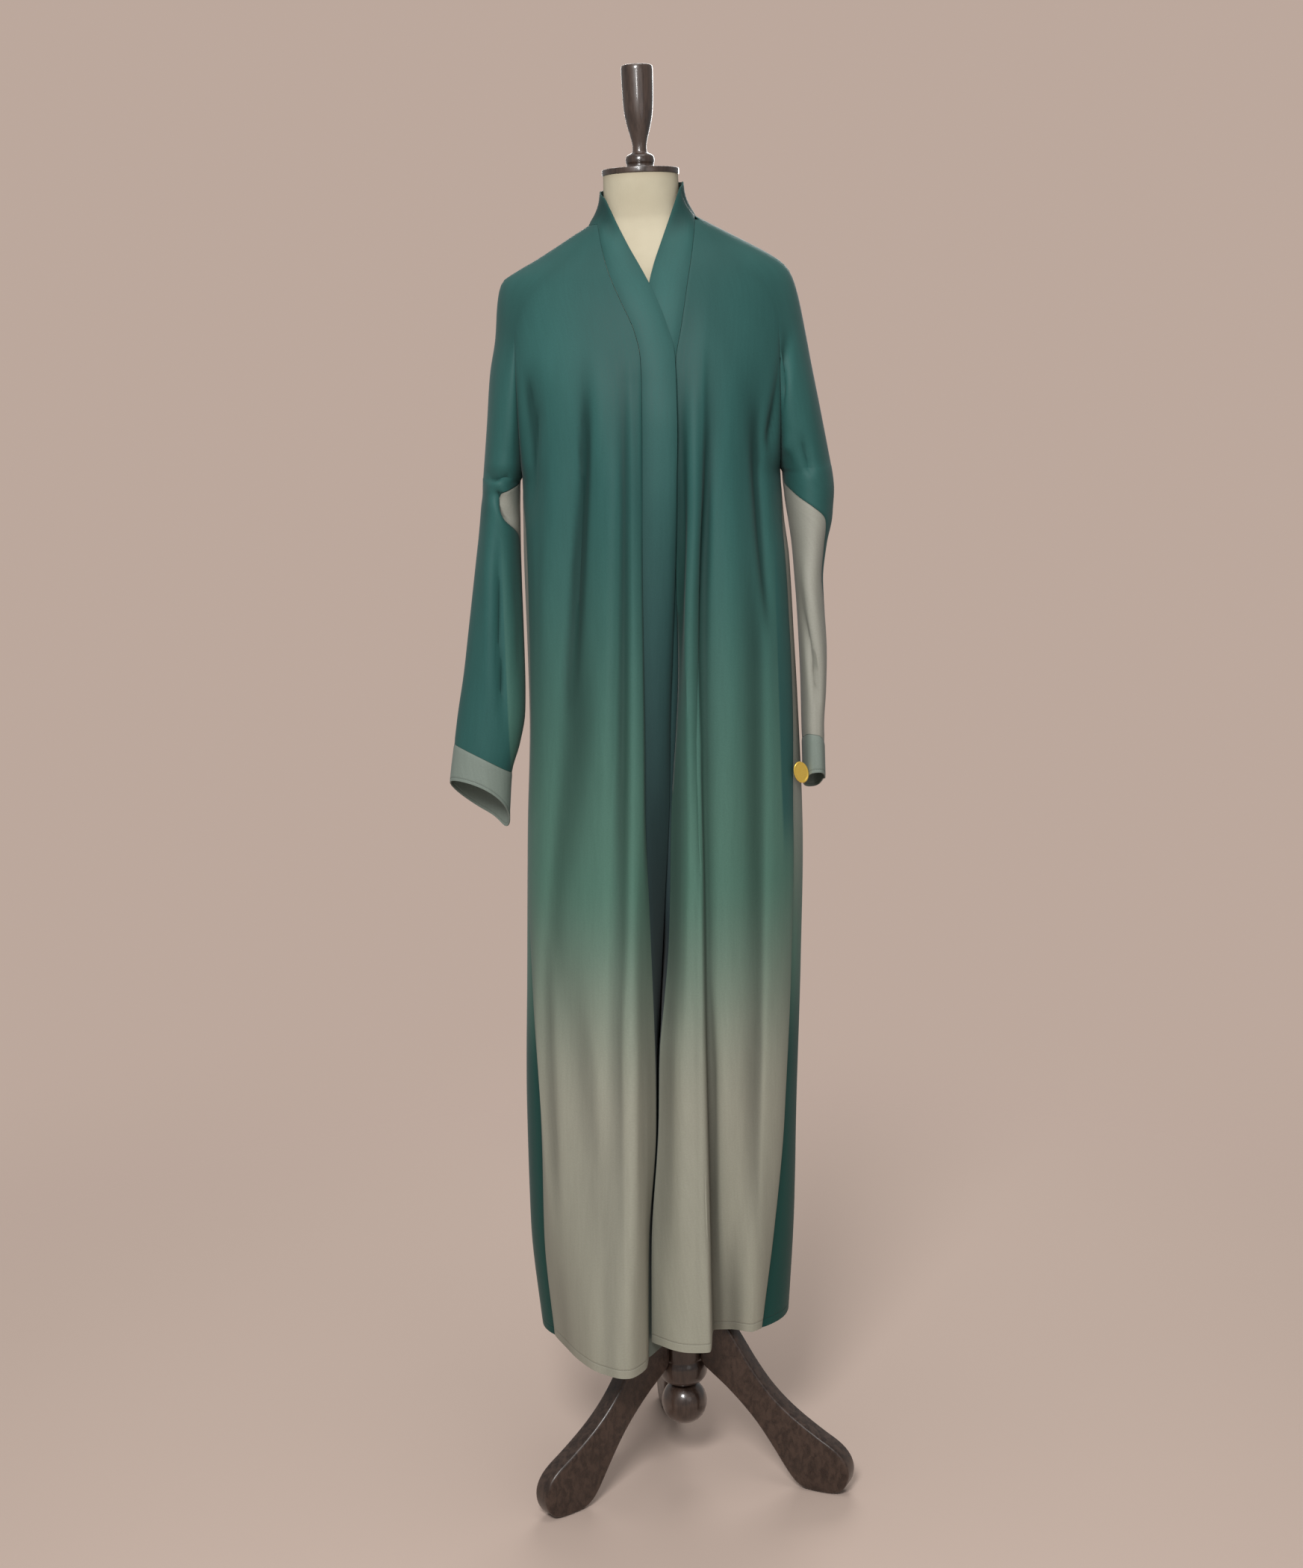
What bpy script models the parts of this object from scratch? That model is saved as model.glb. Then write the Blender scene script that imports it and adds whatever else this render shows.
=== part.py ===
# Open-front abaya on a dress form with a wooden tripod stand.
# Metres, +Z up, the garment's front faces -Y. Left and right in the names are the wearer's;
# the wearer's right side lies at -X. Heights are from the floor, widths from the pole's axis.
import bpy
import math
import numpy as np

for thing in list(bpy.data.objects):
    bpy.data.objects.remove(thing, do_unlink=True)

# Where the pole stands, so that the floor point under the middle of the whole part is the origin
POLE = (0.0208, -0.0383)

CLOTH = 0.0020           # wall of the panels, with their hems and seams
BAND = 0.0024            # wall of the doubled front band and cuffs
SEAM = 0.0003            # gap between two pieces that are sewn together
UNDERARM = 1.305         # height where the sleeves part from the body
SHOULDER = {'right': 1.600, 'left': 1.607}   # neck points of the shoulder seams
NECK_RISE = 0.010        # how much higher the centre back of the neck seam lies

TEAL = (0.045, 0.155, 0.130)
SAGE = (0.34, 0.34, 0.27)
GREY_SAGE = (0.26, 0.31, 0.26)
LINEN = (0.62, 0.56, 0.40)
DARK_WOOD = (0.045, 0.030, 0.026)
BRASS = (0.83, 0.52, 0.10)


def table(header, *rows):
    """Named columns from a header line and one tuple a row, in order of the first column."""
    names = header.split()
    rows = sorted(rows)
    return {name: np.array([row[i] for row in rows]) for i, name in enumerate(names)}


def smooth(xs, ys, x):
    """A monotone cubic curve through the points, held level past its ends."""
    if x <= xs[0]:
        return float(ys[0])
    if x >= xs[-1]:
        return float(ys[-1])
    step = np.diff(xs)
    rise = np.diff(ys) / step
    slope = np.empty(len(xs))
    slope[0], slope[-1] = rise[0], rise[-1]
    for i in range(1, len(xs) - 1):
        if rise[i - 1] * rise[i] <= 0:
            slope[i] = 0.0
        else:
            near, far = 2 * step[i] + step[i - 1], step[i] + 2 * step[i - 1]
            slope[i] = (near + far) / (near / rise[i - 1] + far / rise[i])
    i = int(np.searchsorted(xs, x)) - 1
    t = (x - xs[i]) / step[i]
    u = 1 - t
    return float(ys[i] * u * u * (1 + 2 * t) + ys[i + 1] * t * t * (3 - 2 * t)
                 + step[i] * (slope[i] * t * u * u - slope[i + 1] * t * t * u))


def at(columns, name, z):
    return smooth(columns['z'], columns[name], z)


def ease(t):
    t = min(max(t, 0.0), 1.0)
    return t * t * (3 - 2 * t)


# Body of the garment below the underarm: how far it reaches to each side, its depth in front
# and behind, the power of its rounded outline, and how far each side seam is turned forward
BODY = table(
    'z      right  left   front  back   power turn_right turn_left',
    (1.300, 0.157, 0.157, 0.134, 0.098, 2.30,  0,  0),
    (1.240, 0.1585, 0.1605, 0.132, 0.097, 2.35, 14, 14),
    (1.200, 0.1595, 0.165, 0.131, 0.097, 2.38, 16, 18),
    (1.100, 0.160, 0.1685, 0.129, 0.099, 2.40, 13, 18),
    (1.020, 0.161, 0.171, 0.129, 0.101, 2.40, 10, 20),
    (0.870, 0.170, 0.1735, 0.129, 0.105, 2.40,  6, 26),
    (0.690, 0.179, 0.167, 0.133, 0.108, 2.30, 18, 26),
    (0.500, 0.188, 0.157, 0.140, 0.111, 2.10, 29, 27),
    (0.350, 0.190, 0.1505, 0.149, 0.114, 1.95, 27, 33),
    (0.200, 0.1805, 0.139, 0.158, 0.116, 1.80, 25, 39))

# Yoke and upper sleeves in one: reach of the shoulder and overarm seam, depths, and the line
# where the body's part of a panel passes into its sleeve
YOKE = table(
    'z      right   left    front  back   arm_right arm_left',
    (1.660, 0.0480, 0.0495, 0.0465, 0.052, 0.0480, 0.0495),
    (1.640, 0.0492, 0.0505, 0.0465, 0.054, 0.0492, 0.0505),
    (1.620, 0.0545, 0.0560, 0.0475, 0.059, 0.0545, 0.0560),
    (1.607, 0.0600, 0.0645, 0.0490, 0.064, 0.0585, 0.0625),
    (1.600, 0.0645, 0.0765, 0.0500, 0.066, 0.0620, 0.0700),
    (1.590, 0.0810, 0.0950, 0.0560, 0.069, 0.0680, 0.0780),
    (1.575, 0.1060, 0.1230, 0.0635, 0.073, 0.0760, 0.0860),
    (1.560, 0.1320, 0.1500, 0.0730, 0.078, 0.0900, 0.0990),
    (1.548, 0.1550, 0.1670, 0.0810, 0.083, 0.1040, 0.1120),
    (1.537, 0.1710, 0.1755, 0.0880, 0.088, 0.1180, 0.1240),
    (1.515, 0.1775, 0.1830, 0.0990, 0.094, 0.1400, 0.1430),
    (1.470, 0.1825, 0.1915, 0.1130, 0.100, 0.1560, 0.1560),
    (1.430, 0.1905, 0.1980, 0.1220, 0.102, 0.1570, 0.1570),
    (1.367, 0.1975, 0.2090, 0.1300, 0.102, 0.1570, 0.1570),
    (1.300, 0.2055, 0.2205, 0.1340, 0.098, 0.1570, 0.1570))

# Front edges: where each front is sewn to its band, and the band's free edge. The wearer's
# right front lies on top; lower down both bands turn inward, side by side
CLOSING = table(
    'z     right_x right_y redge_x redge_y left_x  left_y  ledge_x ledge_y',
    (1.420, -0.0080, -0.1250, 0.0320, -0.1250, 0.0315, -0.1190, -0.0100, -0.1160),
    (1.360, -0.0095, -0.1325, 0.0315, -0.1335, 0.0275, -0.1255, -0.0145, -0.1230),
    (1.300, -0.0115, -0.1330, 0.0290, -0.1320, 0.0240, -0.1240, -0.0180, -0.1220),
    (1.200, -0.0150, -0.1280, 0.0255, -0.1170, 0.0235, -0.1100, -0.0180, -0.1040),
    (1.100, -0.0175, -0.1225, 0.0190, -0.1030, 0.0215, -0.0975, -0.0205, -0.0905),
    (1.000, -0.0195, -0.1180, 0.0125, -0.0910, 0.0165, -0.0860, -0.0256, -0.0800),
    (0.880, -0.0228, -0.1135, 0.0050, -0.0810, 0.0085, -0.0770, -0.0338, -0.0730),
    (0.790, -0.0218, -0.1100, -0.0025, -0.0735, 0.0045, -0.0712, -0.0255, -0.0412),
    (0.720, -0.0215, -0.1080, -0.0080, -0.0680, 0.0000, -0.0720, -0.0074, -0.0302),
    (0.650, -0.0213, -0.1055, -0.0135, -0.0640, -0.0085, -0.0850, -0.0100, -0.0425),
    (0.600, -0.0215, -0.1040, -0.0180, -0.0620, -0.0150, -0.0960, -0.0130, -0.0540),
    (0.500, -0.0240, -0.1000, -0.0235, -0.0580, -0.0200, -0.0970, -0.0190, -0.0550),
    (0.350, -0.0380, -0.0920, -0.0320, -0.0500, -0.0335, -0.0930, -0.0275, -0.0510),
    (0.200, -0.0440, -0.0830, -0.0250, -0.0455, -0.0395, -0.0880, -0.0205, -0.0505))

# The same seams in the neckline, where the band climbs to stand round the neck: the seam
# follows the panel, and the free edge is given for each height of the seam
NECKLINE = table(
    'z     right_x  redge_x  redge_z left_x  left_in ledge_x ledge_z ledge_in',
    (1.600, -0.0535, -0.0440, 1.630, 0.0625, 0.0000, 0.0465, 1.6400, 0.0000),
    (1.575, -0.0500, -0.0315, 1.602, 0.0590, 0.0000, 0.0345, 1.6100, 0.0005),
    (1.549, -0.0446, -0.0180, 1.572, 0.0545, 0.0000, 0.0200, 1.5720, 0.0030),
    (1.529, -0.0380, -0.0030, 1.543, 0.0505, 0.0002, 0.0110, 1.5480, 0.0045),
    (1.507, -0.0290, 0.0085, 1.519, 0.0465, 0.0010, 0.0045, 1.5240, 0.0052),
    (1.470, -0.0139, 0.0235, 1.479, 0.0395, 0.0035, -0.0020, 1.4740, 0.0058),
    (1.442, -0.0085, 0.0315, 1.444, 0.0335, 0.0055, -0.0085, 1.4430, 0.0062),
    (1.420, -0.0080, 0.0320, 1.420, 0.0315, 0.0060, -0.0100, 1.4200, 0.0062))

# Lines down each front that follow its folds: places from the pole's axis at four heights,
# and how far the fold stands out from the plain outline there (behind it if below 0)
HEIGHTS = np.array([0.20, 0.60, 1.00, 1.30])
RIGHT_FOLDS = (
    # name,    place at 0.20, 0.60, 1.00, 1.30,            stands out
    ('flank', (-0.1490, -0.1680, -0.1450, -0.1380), (-0.014, -0.002, 0.000, 0.000)),
    ('hollow', (-0.1330, -0.1430, -0.1080, -0.0840), (0.001, -0.008, -0.009, -0.006)),
    ('swell', (-0.1060, -0.0900, -0.0710, -0.0590), (0.016, 0.004, 0.003, 0.002)),
    ('dip', (-0.0850, -0.0660, -0.0460, -0.0350), (0.013, -0.003, -0.004, -0.003)),
    ('roll', (-0.0680, -0.0510, -0.0330, -0.0230), (0.003, 0.008, 0.007, 0.003)),
    ('turn', (-0.0465, -0.0365, -0.0215, -0.0150), (-0.038, -0.010, -0.001, 0.002)))
LEFT_FOLDS = (
    ('crest', (0.0050, 0.0180, 0.0360, 0.0460), (-0.030, -0.010, 0.001, 0.001)),
    ('brim', (0.0330, 0.0370, 0.0460, 0.0570), (-0.020, -0.004, 0.003, 0.002)),
    ('step', (0.0405, 0.0440, 0.0550, 0.0660), (-0.087, -0.026, -0.006, -0.003)),
    ('broad', (0.0640, 0.0710, 0.0850, 0.0920), (-0.073, -0.012, 0.003, 0.002)),
    ('hollow', (0.0900, 0.1030, 0.1140, 0.1200), (-0.040, -0.012, -0.006, -0.003)),
    ('flank', (0.1010, 0.1200, 0.1370, 0.1400), (-0.038, -0.005, 0.000, 0.000)))
FOLD_TOP = 1.470         # the folds begin this high on the chest
SIDE_IN = {'right': (0.024, 0.004, 0.0, 0.0), 'left': (0.039, 0.004, 0.0, 0.0)}

# Soft folds round the back: place as a share from the left side seam to the right one,
# how far each stands out at the hem, and its share of the width
BACK_FOLDS = (
    ('left side', 0.16, 0.007, 0.05),
    ('left tuck', 0.28, -0.008, 0.05),
    ('left blade', 0.40, 0.009, 0.06),
    ('middle', 0.52, -0.010, 0.06),
    ('right blade', 0.64, 0.008, 0.05),
    ('right tuck', 0.75, -0.007, 0.05),
    ('right side', 0.86, 0.007, 0.05))

# Sleeves below the underarm: reach of the inner and outer side, middle and half depth, and
# where the two seams lie round the tube (0 outer side, 90 front, 180 next to the body)
SLEEVE_RIGHT = table(
    'z      inner   outer   middle  depth  under over',
    (1.305, 0.1570, 0.2055, 0.000, 0.058, 180, 0),
    (1.299, 0.1608, 0.2057, -0.001, 0.057, 176, 0),
    (1.295, 0.1612, 0.2060, -0.001, 0.057, 152, 0),
    (1.291, 0.1615, 0.2062, -0.001, 0.057, 126, 0),
    (1.286, 0.1617, 0.2065, -0.001, 0.056, 100, 0),
    (1.270, 0.1625, 0.2090, -0.003, 0.053, 98, -2),
    (1.250, 0.1630, 0.2115, -0.005, 0.050, 125, -5),
    (1.232, 0.1635, 0.2140, -0.006, 0.048, 165, -8),
    (1.210, 0.1640, 0.2175, -0.007, 0.046, 182, -12),
    (1.120, 0.1645, 0.2315, -0.012, 0.042, 186, -15),
    (1.066, 0.1650, 0.2400, -0.015, 0.040, 186, -15),
    (1.017, 0.1670, 0.2495, -0.018, 0.038, 186, -15),
    (0.975, 0.1760, 0.2565, -0.020, 0.036, 186, -15),
    (0.945, 0.1860, 0.2615, -0.021, 0.035, 186, -15),
    (0.890, 0.1920, 0.2690, -0.022, 0.035, 186, -15))
SLEEVE_LEFT = table(
    'z      inner   outer   middle  depth  under over',
    (1.305, 0.1570, 0.2200, 0.000, 0.058, 180, -16),
    (1.299, 0.1608, 0.2207, -0.001, 0.057, 177, -20),
    (1.288, 0.1614, 0.2220, -0.001, 0.057, 172, -30),
    (1.278, 0.1622, 0.2225, -0.002, 0.056, 143, -42),
    (1.268, 0.1630, 0.2220, -0.003, 0.055, 117, -54),
    (1.259, 0.1640, 0.2210, -0.004, 0.054, 92, -66),
    (1.241, 0.1665, 0.2190, -0.006, 0.052, 54, -90),
    (1.210, 0.1700, 0.2115, -0.008, 0.050, 42, -118),
    (1.165, 0.1725, 0.2055, -0.012, 0.049, 36, -140),
    (1.145, 0.1735, 0.2058, -0.013, 0.049, 24, -150),
    (1.090, 0.1755, 0.2072, -0.016, 0.048, 2, -160),
    (1.037, 0.1766, 0.2050, -0.019, 0.047, -8, -168),
    (0.985, 0.1764, 0.2010, -0.022, 0.046, -10, -170),
    (0.900, 0.1764, 0.2010, -0.024, 0.046, -10, -170))
SLEEVE_POWER = {'right': 2.0, 'left': 3.0}     # roundness of the outline towards the cuff

# The cuffs hang at a slant: height of the sleeve seam and of the hem, and how much higher
# each lies at the outer side and in front
CUFFS = {
    'right': {'seam': 0.9605, 'seam_outer': 0.0190, 'seam_front': 0.004,
              'hem': 0.9080, 'hem_outer': 0.0230, 'hem_front': 0.016},
    'left': {'seam': 0.9680, 'seam_outer': -0.0050, 'seam_front': 0.0135,
             'hem': 0.9185, 'hem_outer': 0.0010, 'hem_front': 0.0165}}

# Rows of the walls, from the shoulder down
YOKE_ROWS = (1.590, 1.575, 1.560, 1.548, 1.537, 1.515, 1.487, 1.456, 1.420, 1.380, 1.345,
             1.322, 1.311, UNDERARM)
BODY_ROWS = 12
BACK_COLUMNS = 16
SLEEVE_COLUMNS = 6

# Height of the hem at each band and side seam, and how much higher it lies at centre back
HEM = {'right': (0.190, 0.206), 'left': (0.213, 0.213)}
HEM_BACK = 0.005

SIGN = {'right': -1.0, 'left': 1.0}


def body_outline(angle, z):
    """A point of the plain body section. 0 is the wearer's right side, 90 the front."""
    right, left = at(BODY, 'right', z), at(BODY, 'left', z)
    middle, half = (left - right) / 2, (left + right) / 2
    power = 2 / at(BODY, 'power', z)
    a = math.radians(angle)
    c, s = math.cos(a), math.sin(a)
    depth = at(BODY, 'front' if s >= 0 else 'back', z)
    x = middle - half * math.copysign(abs(c) ** power, c)
    y = -depth * math.copysign(abs(s) ** power, s)
    return x, y


def body_angle(x, z):
    """The angle round the front half of the body section at a place across it."""
    right, left = at(BODY, 'right', z), at(BODY, 'left', z)
    middle, half = (left - right) / 2, (left + right) / 2
    share = min(max((middle - x) / half, -1.0), 1.0)
    c = math.copysign(abs(share) ** (at(BODY, 'power', z) / 2), share)
    return math.degrees(math.acos(c))


def body_depth(x, z, face):
    """Depth of the plain body section at a place across it, held at the underarm's above it."""
    z = min(z, UNDERARM)
    right, left = at(BODY, 'right', z), at(BODY, 'left', z)
    middle, half = (left - right) / 2, (left + right) / 2
    share = min(abs(x - middle) / half, 1.0)
    power = at(BODY, 'power', z)
    return at(BODY, face, z) * (1 - share ** power) ** (1 / power)


def yoke_depth(x, z, face):
    """Depth of the yoke, which widens into both sleeves."""
    reach = at(YOKE, 'right' if x < 0 else 'left', z)
    share = min(abs(x) / reach, 1.0)
    power = 2.0 + 0.3 * ease((1.54 - z) / 0.2)
    return at(YOKE, face, z) * (1 - share ** power) ** (1 / power)


def arch(x, z):
    """1 at the underarm, where yoke and sleeves part. It fades upward, like a round arch close
    to where they part and more softly over the chest."""
    rise = min(max((z - UNDERARM) / 0.17, 0.0), 1.0)
    close = math.exp(-((abs(x) - 0.157) / 0.028) ** 2)
    return 1 - close * rise ** 0.6 - (1 - close) * ease(rise)


def front_surface(x, z):
    near = arch(x, z)
    return -((1 - near) * yoke_depth(x, z, 'front') + near * body_depth(x, z, 'front'))


def back_surface(x, z):
    near = arch(x, z)
    return (1 - near) * yoke_depth(x, z, 'back') + near * body_depth(x, z, 'back')


def arm_point(side, z, face):
    """The point between the body's part and the sleeve's part of a panel, above the underarm."""
    x = SIGN[side] * at(YOKE, 'arm_' + side, z)
    y = front_surface(x, z) if face == 'front' else back_surface(x, z)
    return (x, 0.0 if z <= UNDERARM else y, z)


def seam_point(side, z):
    """Where a front is sewn to its band."""
    if z > CLOSING['z'][-1]:
        x = at(NECKLINE, side + '_x', z)
        inside = at(NECKLINE, 'left_in', z) if side == 'left' else 0.0
        return x, front_surface(x, z) + inside
    return at(CLOSING, side + '_x', z), at(CLOSING, side + '_y', z)


def side_point(side, z):
    """The side seam below the underarm."""
    turn = at(BODY, 'turn_' + side, z)
    x, y = body_outline(turn if side == 'right' else 180 - turn, z)
    return x, y + smooth(HEIGHTS, SIDE_IN[side], z)


def front_row(side, z, shares):
    """One row of a front from its side seam to its band, at the given fold line numbers."""
    folds = RIGHT_FOLDS if side == 'right' else LEFT_FOLDS[::-1]
    low = min(z, UNDERARM)
    seam_x, seam_y = seam_point(side, low)
    side_x, side_y = side_point(side, low)
    places = [side_x] + [smooth(HEIGHTS, fold[1], low) for fold in folds] + [seam_x]
    angles = [body_angle(x, low) for x in places]
    outline = [body_outline(angle, low)[1] for angle in angles]
    out = [outline[0] - side_y] + [smooth(HEIGHTS, fold[2], low) for fold in folds]
    out.append(outline[-1] - seam_y)
    numbers = np.arange(len(places))
    points = []
    for share in shares:
        angle = smooth(numbers, angles, share)
        x, y = body_outline(angle, low)
        stand = smooth(numbers, out, share)
        if z <= UNDERARM:
            points.append((x, y - stand, z))
            continue
        top_x, top_y = seam_point(side, z)
        arm = arm_point(side, z, 'front')
        along = (x - side_x) / (seam_x - side_x)
        across = arm[0] + along * (top_x - arm[0])
        fade = ease((FOLD_TOP - z) / (FOLD_TOP - UNDERARM))
        # close to the band the wall follows the seam's own depth
        stand *= fade * (1 - (1 - fade) * ease((along - 0.6) / 0.4))
        level = front_surface(across, z) - stand
        to_seam = (top_y - front_surface(top_x, z)) * ease((along - 0.72) / 0.28)
        points.append((across, level + to_seam, z))
    return points


def back_row(z, shares):
    """One row of the back from the wearer's left side seam to the right one."""
    points = []
    low = min(z, UNDERARM)
    start, end = -at(BODY, 'turn_left', low), 180 + at(BODY, 'turn_right', low)
    drop = 1 - ease((low - 0.20) / 1.05)
    for share in shares:
        angle = start + share * (end - start)
        x, y = body_outline(180 + angle, low)
        if angle < 0:
            y += smooth(HEIGHTS, SIDE_IN['left'], low) * angle / min(start, -1e-6)
        elif angle > 180:
            y += smooth(HEIGHTS, SIDE_IN['right'], low) * (angle - 180) / max(end - 180, 1e-6)
        within = ease(share / 0.1) * ease((1 - share) / 0.1)
        for name, place, out, width in BACK_FOLDS:
            y += out * drop * within * math.exp(-((share - place) / width) ** 2)
        if z > UNDERARM:
            x *= arm_point('left' if share < 0.5 else 'right', z, 'back')[0]
            x /= arm_point('left' if share < 0.5 else 'right', low, 'back')[0]
            y = back_surface(x, z)
        points.append((x, y, z))
    return points


def sleeve_point(side, angle, z):
    """A point round a sleeve. 0 is the outer side, 90 the front, 180 next to the body."""
    a = math.radians(angle)
    if z >= UNDERARM:
        arm = at(YOKE, 'arm_' + side, z)
        reach = at(YOKE, side, z)
        x = (arm + reach) / 2 + (reach - arm) / 2 * math.cos(a)
        x *= SIGN[side]
        near = arch(x, z)
        tube = at(SLEEVE_RIGHT if side == 'right' else SLEEVE_LEFT, 'depth', UNDERARM)
        if math.sin(a) >= 0:
            y = -(1 - near) * yoke_depth(x, z, 'front') - near * tube * math.sin(a)
        else:
            y = (1 - near) * yoke_depth(x, z, 'back') - near * tube * math.sin(a)
        return (x, y, z)
    sizes = SLEEVE_RIGHT if side == 'right' else SLEEVE_LEFT
    inner, outer = at(sizes, 'inner', z), at(sizes, 'outer', z)
    power = 2 / (2 + (SLEEVE_POWER[side] - 2) * ease((1.15 - z) / 0.1))
    across = math.copysign(abs(math.cos(a)) ** power, math.cos(a))
    deep = math.copysign(abs(math.sin(a)) ** power, math.sin(a))
    x = SIGN[side] * ((inner + outer) / 2 + (outer - inner) / 2 * across)
    return (x, at(sizes, 'middle', z) - at(sizes, 'depth', z) * deep, z)


def slant(side, line, angle):
    cuff = CUFFS[side]
    a = math.radians(angle)
    return cuff[line] + cuff[line + '_outer'] * math.cos(a) + cuff[line + '_front'] * math.sin(a)


SLEEVE_ROWS = {
    'right': (1.299, 1.295, 1.291, 1.286, 1.278, 1.266, 1.250, 1.236, 1.215, 1.170, 1.120,
              1.070, 1.015, 0.9605),
    'left': (1.299, 1.290, 1.280, 1.271, 1.262, 1.251, 1.238, 1.220, 1.190, 1.150, 1.105,
             1.040, 0.968)}


def sleeve_grid(side, face, columns):
    """Rows of the sleeve's part of a panel, from the overarm seam to the underarm seam."""
    sizes = SLEEVE_RIGHT if side == 'right' else SLEEVE_LEFT
    rows = []
    over_start = at(sizes, 'over', UNDERARM)
    for z in (SHOULDER[side],) + YOKE_ROWS:
        over = over_start * ease((1.42 - z) / (1.42 - UNDERARM))
        end = 180 if face == 'front' else -180
        row = [sleeve_point(side, over + (end - over) * j / columns, z) for j in range(columns)]
        row.append(arm_point(side, z, face))
        rows.append(row)
    last = SLEEVE_ROWS[side][-1]
    for z in SLEEVE_ROWS[side]:
        over, under = at(sizes, 'over', z), at(sizes, 'under', z)
        end = under if face == 'front' else under - 360
        row = []
        for j in range(columns + 1):
            angle = over + (end - over) * j / columns
            # rows close in on the slanted cuff seam
            tilt = ease((UNDERARM - 0.06 - z) / (UNDERARM - 0.06 - last))
            level = z + tilt * (slant(side, 'seam', angle) - last)
            x, y, _ = sleeve_point(side, angle, level)
            row.append((x, y, level))
        rows.append(row)
    return rows


def hem_height(side, share):
    """Height of the hem, from the band (0) to the side seam (1)."""
    near, far = HEM[side]
    return near + (far - near) * share


def across_back(share, left, right, rise):
    return left + (right - left) * share + rise * 4 * share * (1 - share)


def front_grid(side, shares):
    """Rows of a front, from the shoulder to the hem, each from the side seam to the band."""
    rows = [front_row(side, z, shares) for z in (SHOULDER[side],) + YOKE_ROWS]
    for k in range(1, BODY_ROWS + 1):
        row = []
        for share in shares:
            hem = hem_height(side, 1 - share / shares[-1])
            row += front_row(side, UNDERARM + ease_rows(k / BODY_ROWS) * (hem - UNDERARM), [share])
        rows.append(row)
    return rows


def back_grid():
    """Rows of the back, each from the wearer's left to the right."""
    shares = [k / BACK_COLUMNS for k in range(BACK_COLUMNS + 1)]
    top = []
    for share in shares:
        level = across_back(share, SHOULDER['left'], SHOULDER['right'], 0.0)
        top += back_row(level, [share])
    rows = [top] + [back_row(z, shares) for z in YOKE_ROWS]
    for k in range(1, BODY_ROWS + 1):
        row = []
        for share in shares:
            hem = across_back(share, HEM['left'][1], HEM['right'][1], HEM_BACK)
            row += back_row(UNDERARM + ease_rows(k / BODY_ROWS) * (hem - UNDERARM), [share])
        rows.append(row)
    return rows


def ease_rows(t):
    """Rows lie closer together just below the underarm."""
    return 0.45 * t * t + 0.55 * t if t < 1 else 1.0


class Cloth:
    """The walls of one piece: its middle surface as points and four-sided faces."""

    def __init__(self, name, thickness, colour):
        self.name, self.thickness, self.colour = name, thickness, colour
        self.points, self.faces, self.index = [], [], {}

    def point(self, p):
        key = tuple(round(v * 1e6) for v in p)
        if key not in self.index:
            self.index[key] = len(self.points)
            self.points.append(tuple(p))
        return self.index[key]

    def grid(self, rows):
        ids = [[self.point(p) for p in row] for row in rows]
        for upper, lower in zip(ids, ids[1:]):
            for j in range(len(upper) - 1):
                corners = [upper[j], lower[j], lower[j + 1], upper[j + 1]]
                unique = list(dict.fromkeys(corners))
                if len(unique) > 2:
                    self.faces.append(unique)


def face_normal(points, face):
    a, b, c = points[face[0]], points[face[1]], points[face[2]]
    n = np.cross(b - a, c - a)
    if len(face) == 4:
        d = points[face[3]]
        n = n + np.cross(c - a, d - a)
    length = np.linalg.norm(n)
    return n / length if length > 1e-12 else n


def split(points, face):
    """A four-sided face as two triangles, parted along its shorter diagonal."""
    if len(face) == 3:
        return [list(face)]
    a, b, c, d = face
    if np.linalg.norm(points[a] - points[c]) <= np.linalg.norm(points[b] - points[d]):
        return [[a, b, c], [a, c, d]]
    return [[a, b, d], [b, c, d]]


def sew(pieces):
    """Thickens every piece about its middle surface, with one set of directions for all."""
    shared, owners = {}, {}
    for piece in pieces:
        piece.array = np.array(piece.points)
        piece.normals = [face_normal(piece.array, face) for face in piece.faces]
        for face, normal in zip(piece.faces, piece.normals):
            for v in face:
                key = tuple(np.round(piece.array[v] * 1e5).astype(int))
                shared.setdefault(key, []).append(normal)
                owners.setdefault(key, set()).add(piece.name)
    for piece in pieces:
        solid(piece, shared, owners)


def solid(piece, shared, owners):
    points = piece.array
    edges = {(a, b) for face in piece.faces for a, b in zip(face, face[1:] + face[:1])}
    rim = [(a, b) for (a, b) in sorted(edges) if (b, a) not in edges]
    along = {}
    for a, b in rim:
        step = (points[b] - points[a]) / np.linalg.norm(points[b] - points[a])
        along.setdefault(a, []).append(step)
        along.setdefault(b, []).append(step)
    outer, inner = [], []
    for v, p in enumerate(points):
        key = tuple(np.round(p * 1e5).astype(int))
        normals = np.array(shared[key])
        n = normals.sum(axis=0)
        n = n / np.linalg.norm(n)
        reach = 1 / max(float(np.clip(normals @ n, 0.6, 1.0).mean()), 0.6)
        if v in along and len(owners[key]) > 1:
            # a sewn edge is drawn back at right angles, so that a thin gap is left
            inward = np.mean([np.cross(n, step) for step in along[v]], axis=0)
            size = np.linalg.norm(inward)
            p = p + inward / size * SEAM * 0.62 / max(size, 0.6)
        outer.append(p + n * piece.thickness / 2 * reach)
        inner.append(p - n * piece.thickness / 2 * reach)
    count = len(points)
    faces = [part for face in piece.faces for part in split(points, face)]
    faces += [[v + count for v in reversed(face)] for face in faces]
    for a, b in rim:
        # both pieces at a seam split their rims along the same diagonal
        if points[a].tolist() < points[b].tolist():
            faces += [[b, a, a + count], [b, a + count, b + count]]
        else:
            faces += [[b, a, b + count], [a, a + count, b + count]]
    add_mesh(piece.name, outer + inner, faces, piece.colour, 0.42)


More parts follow.
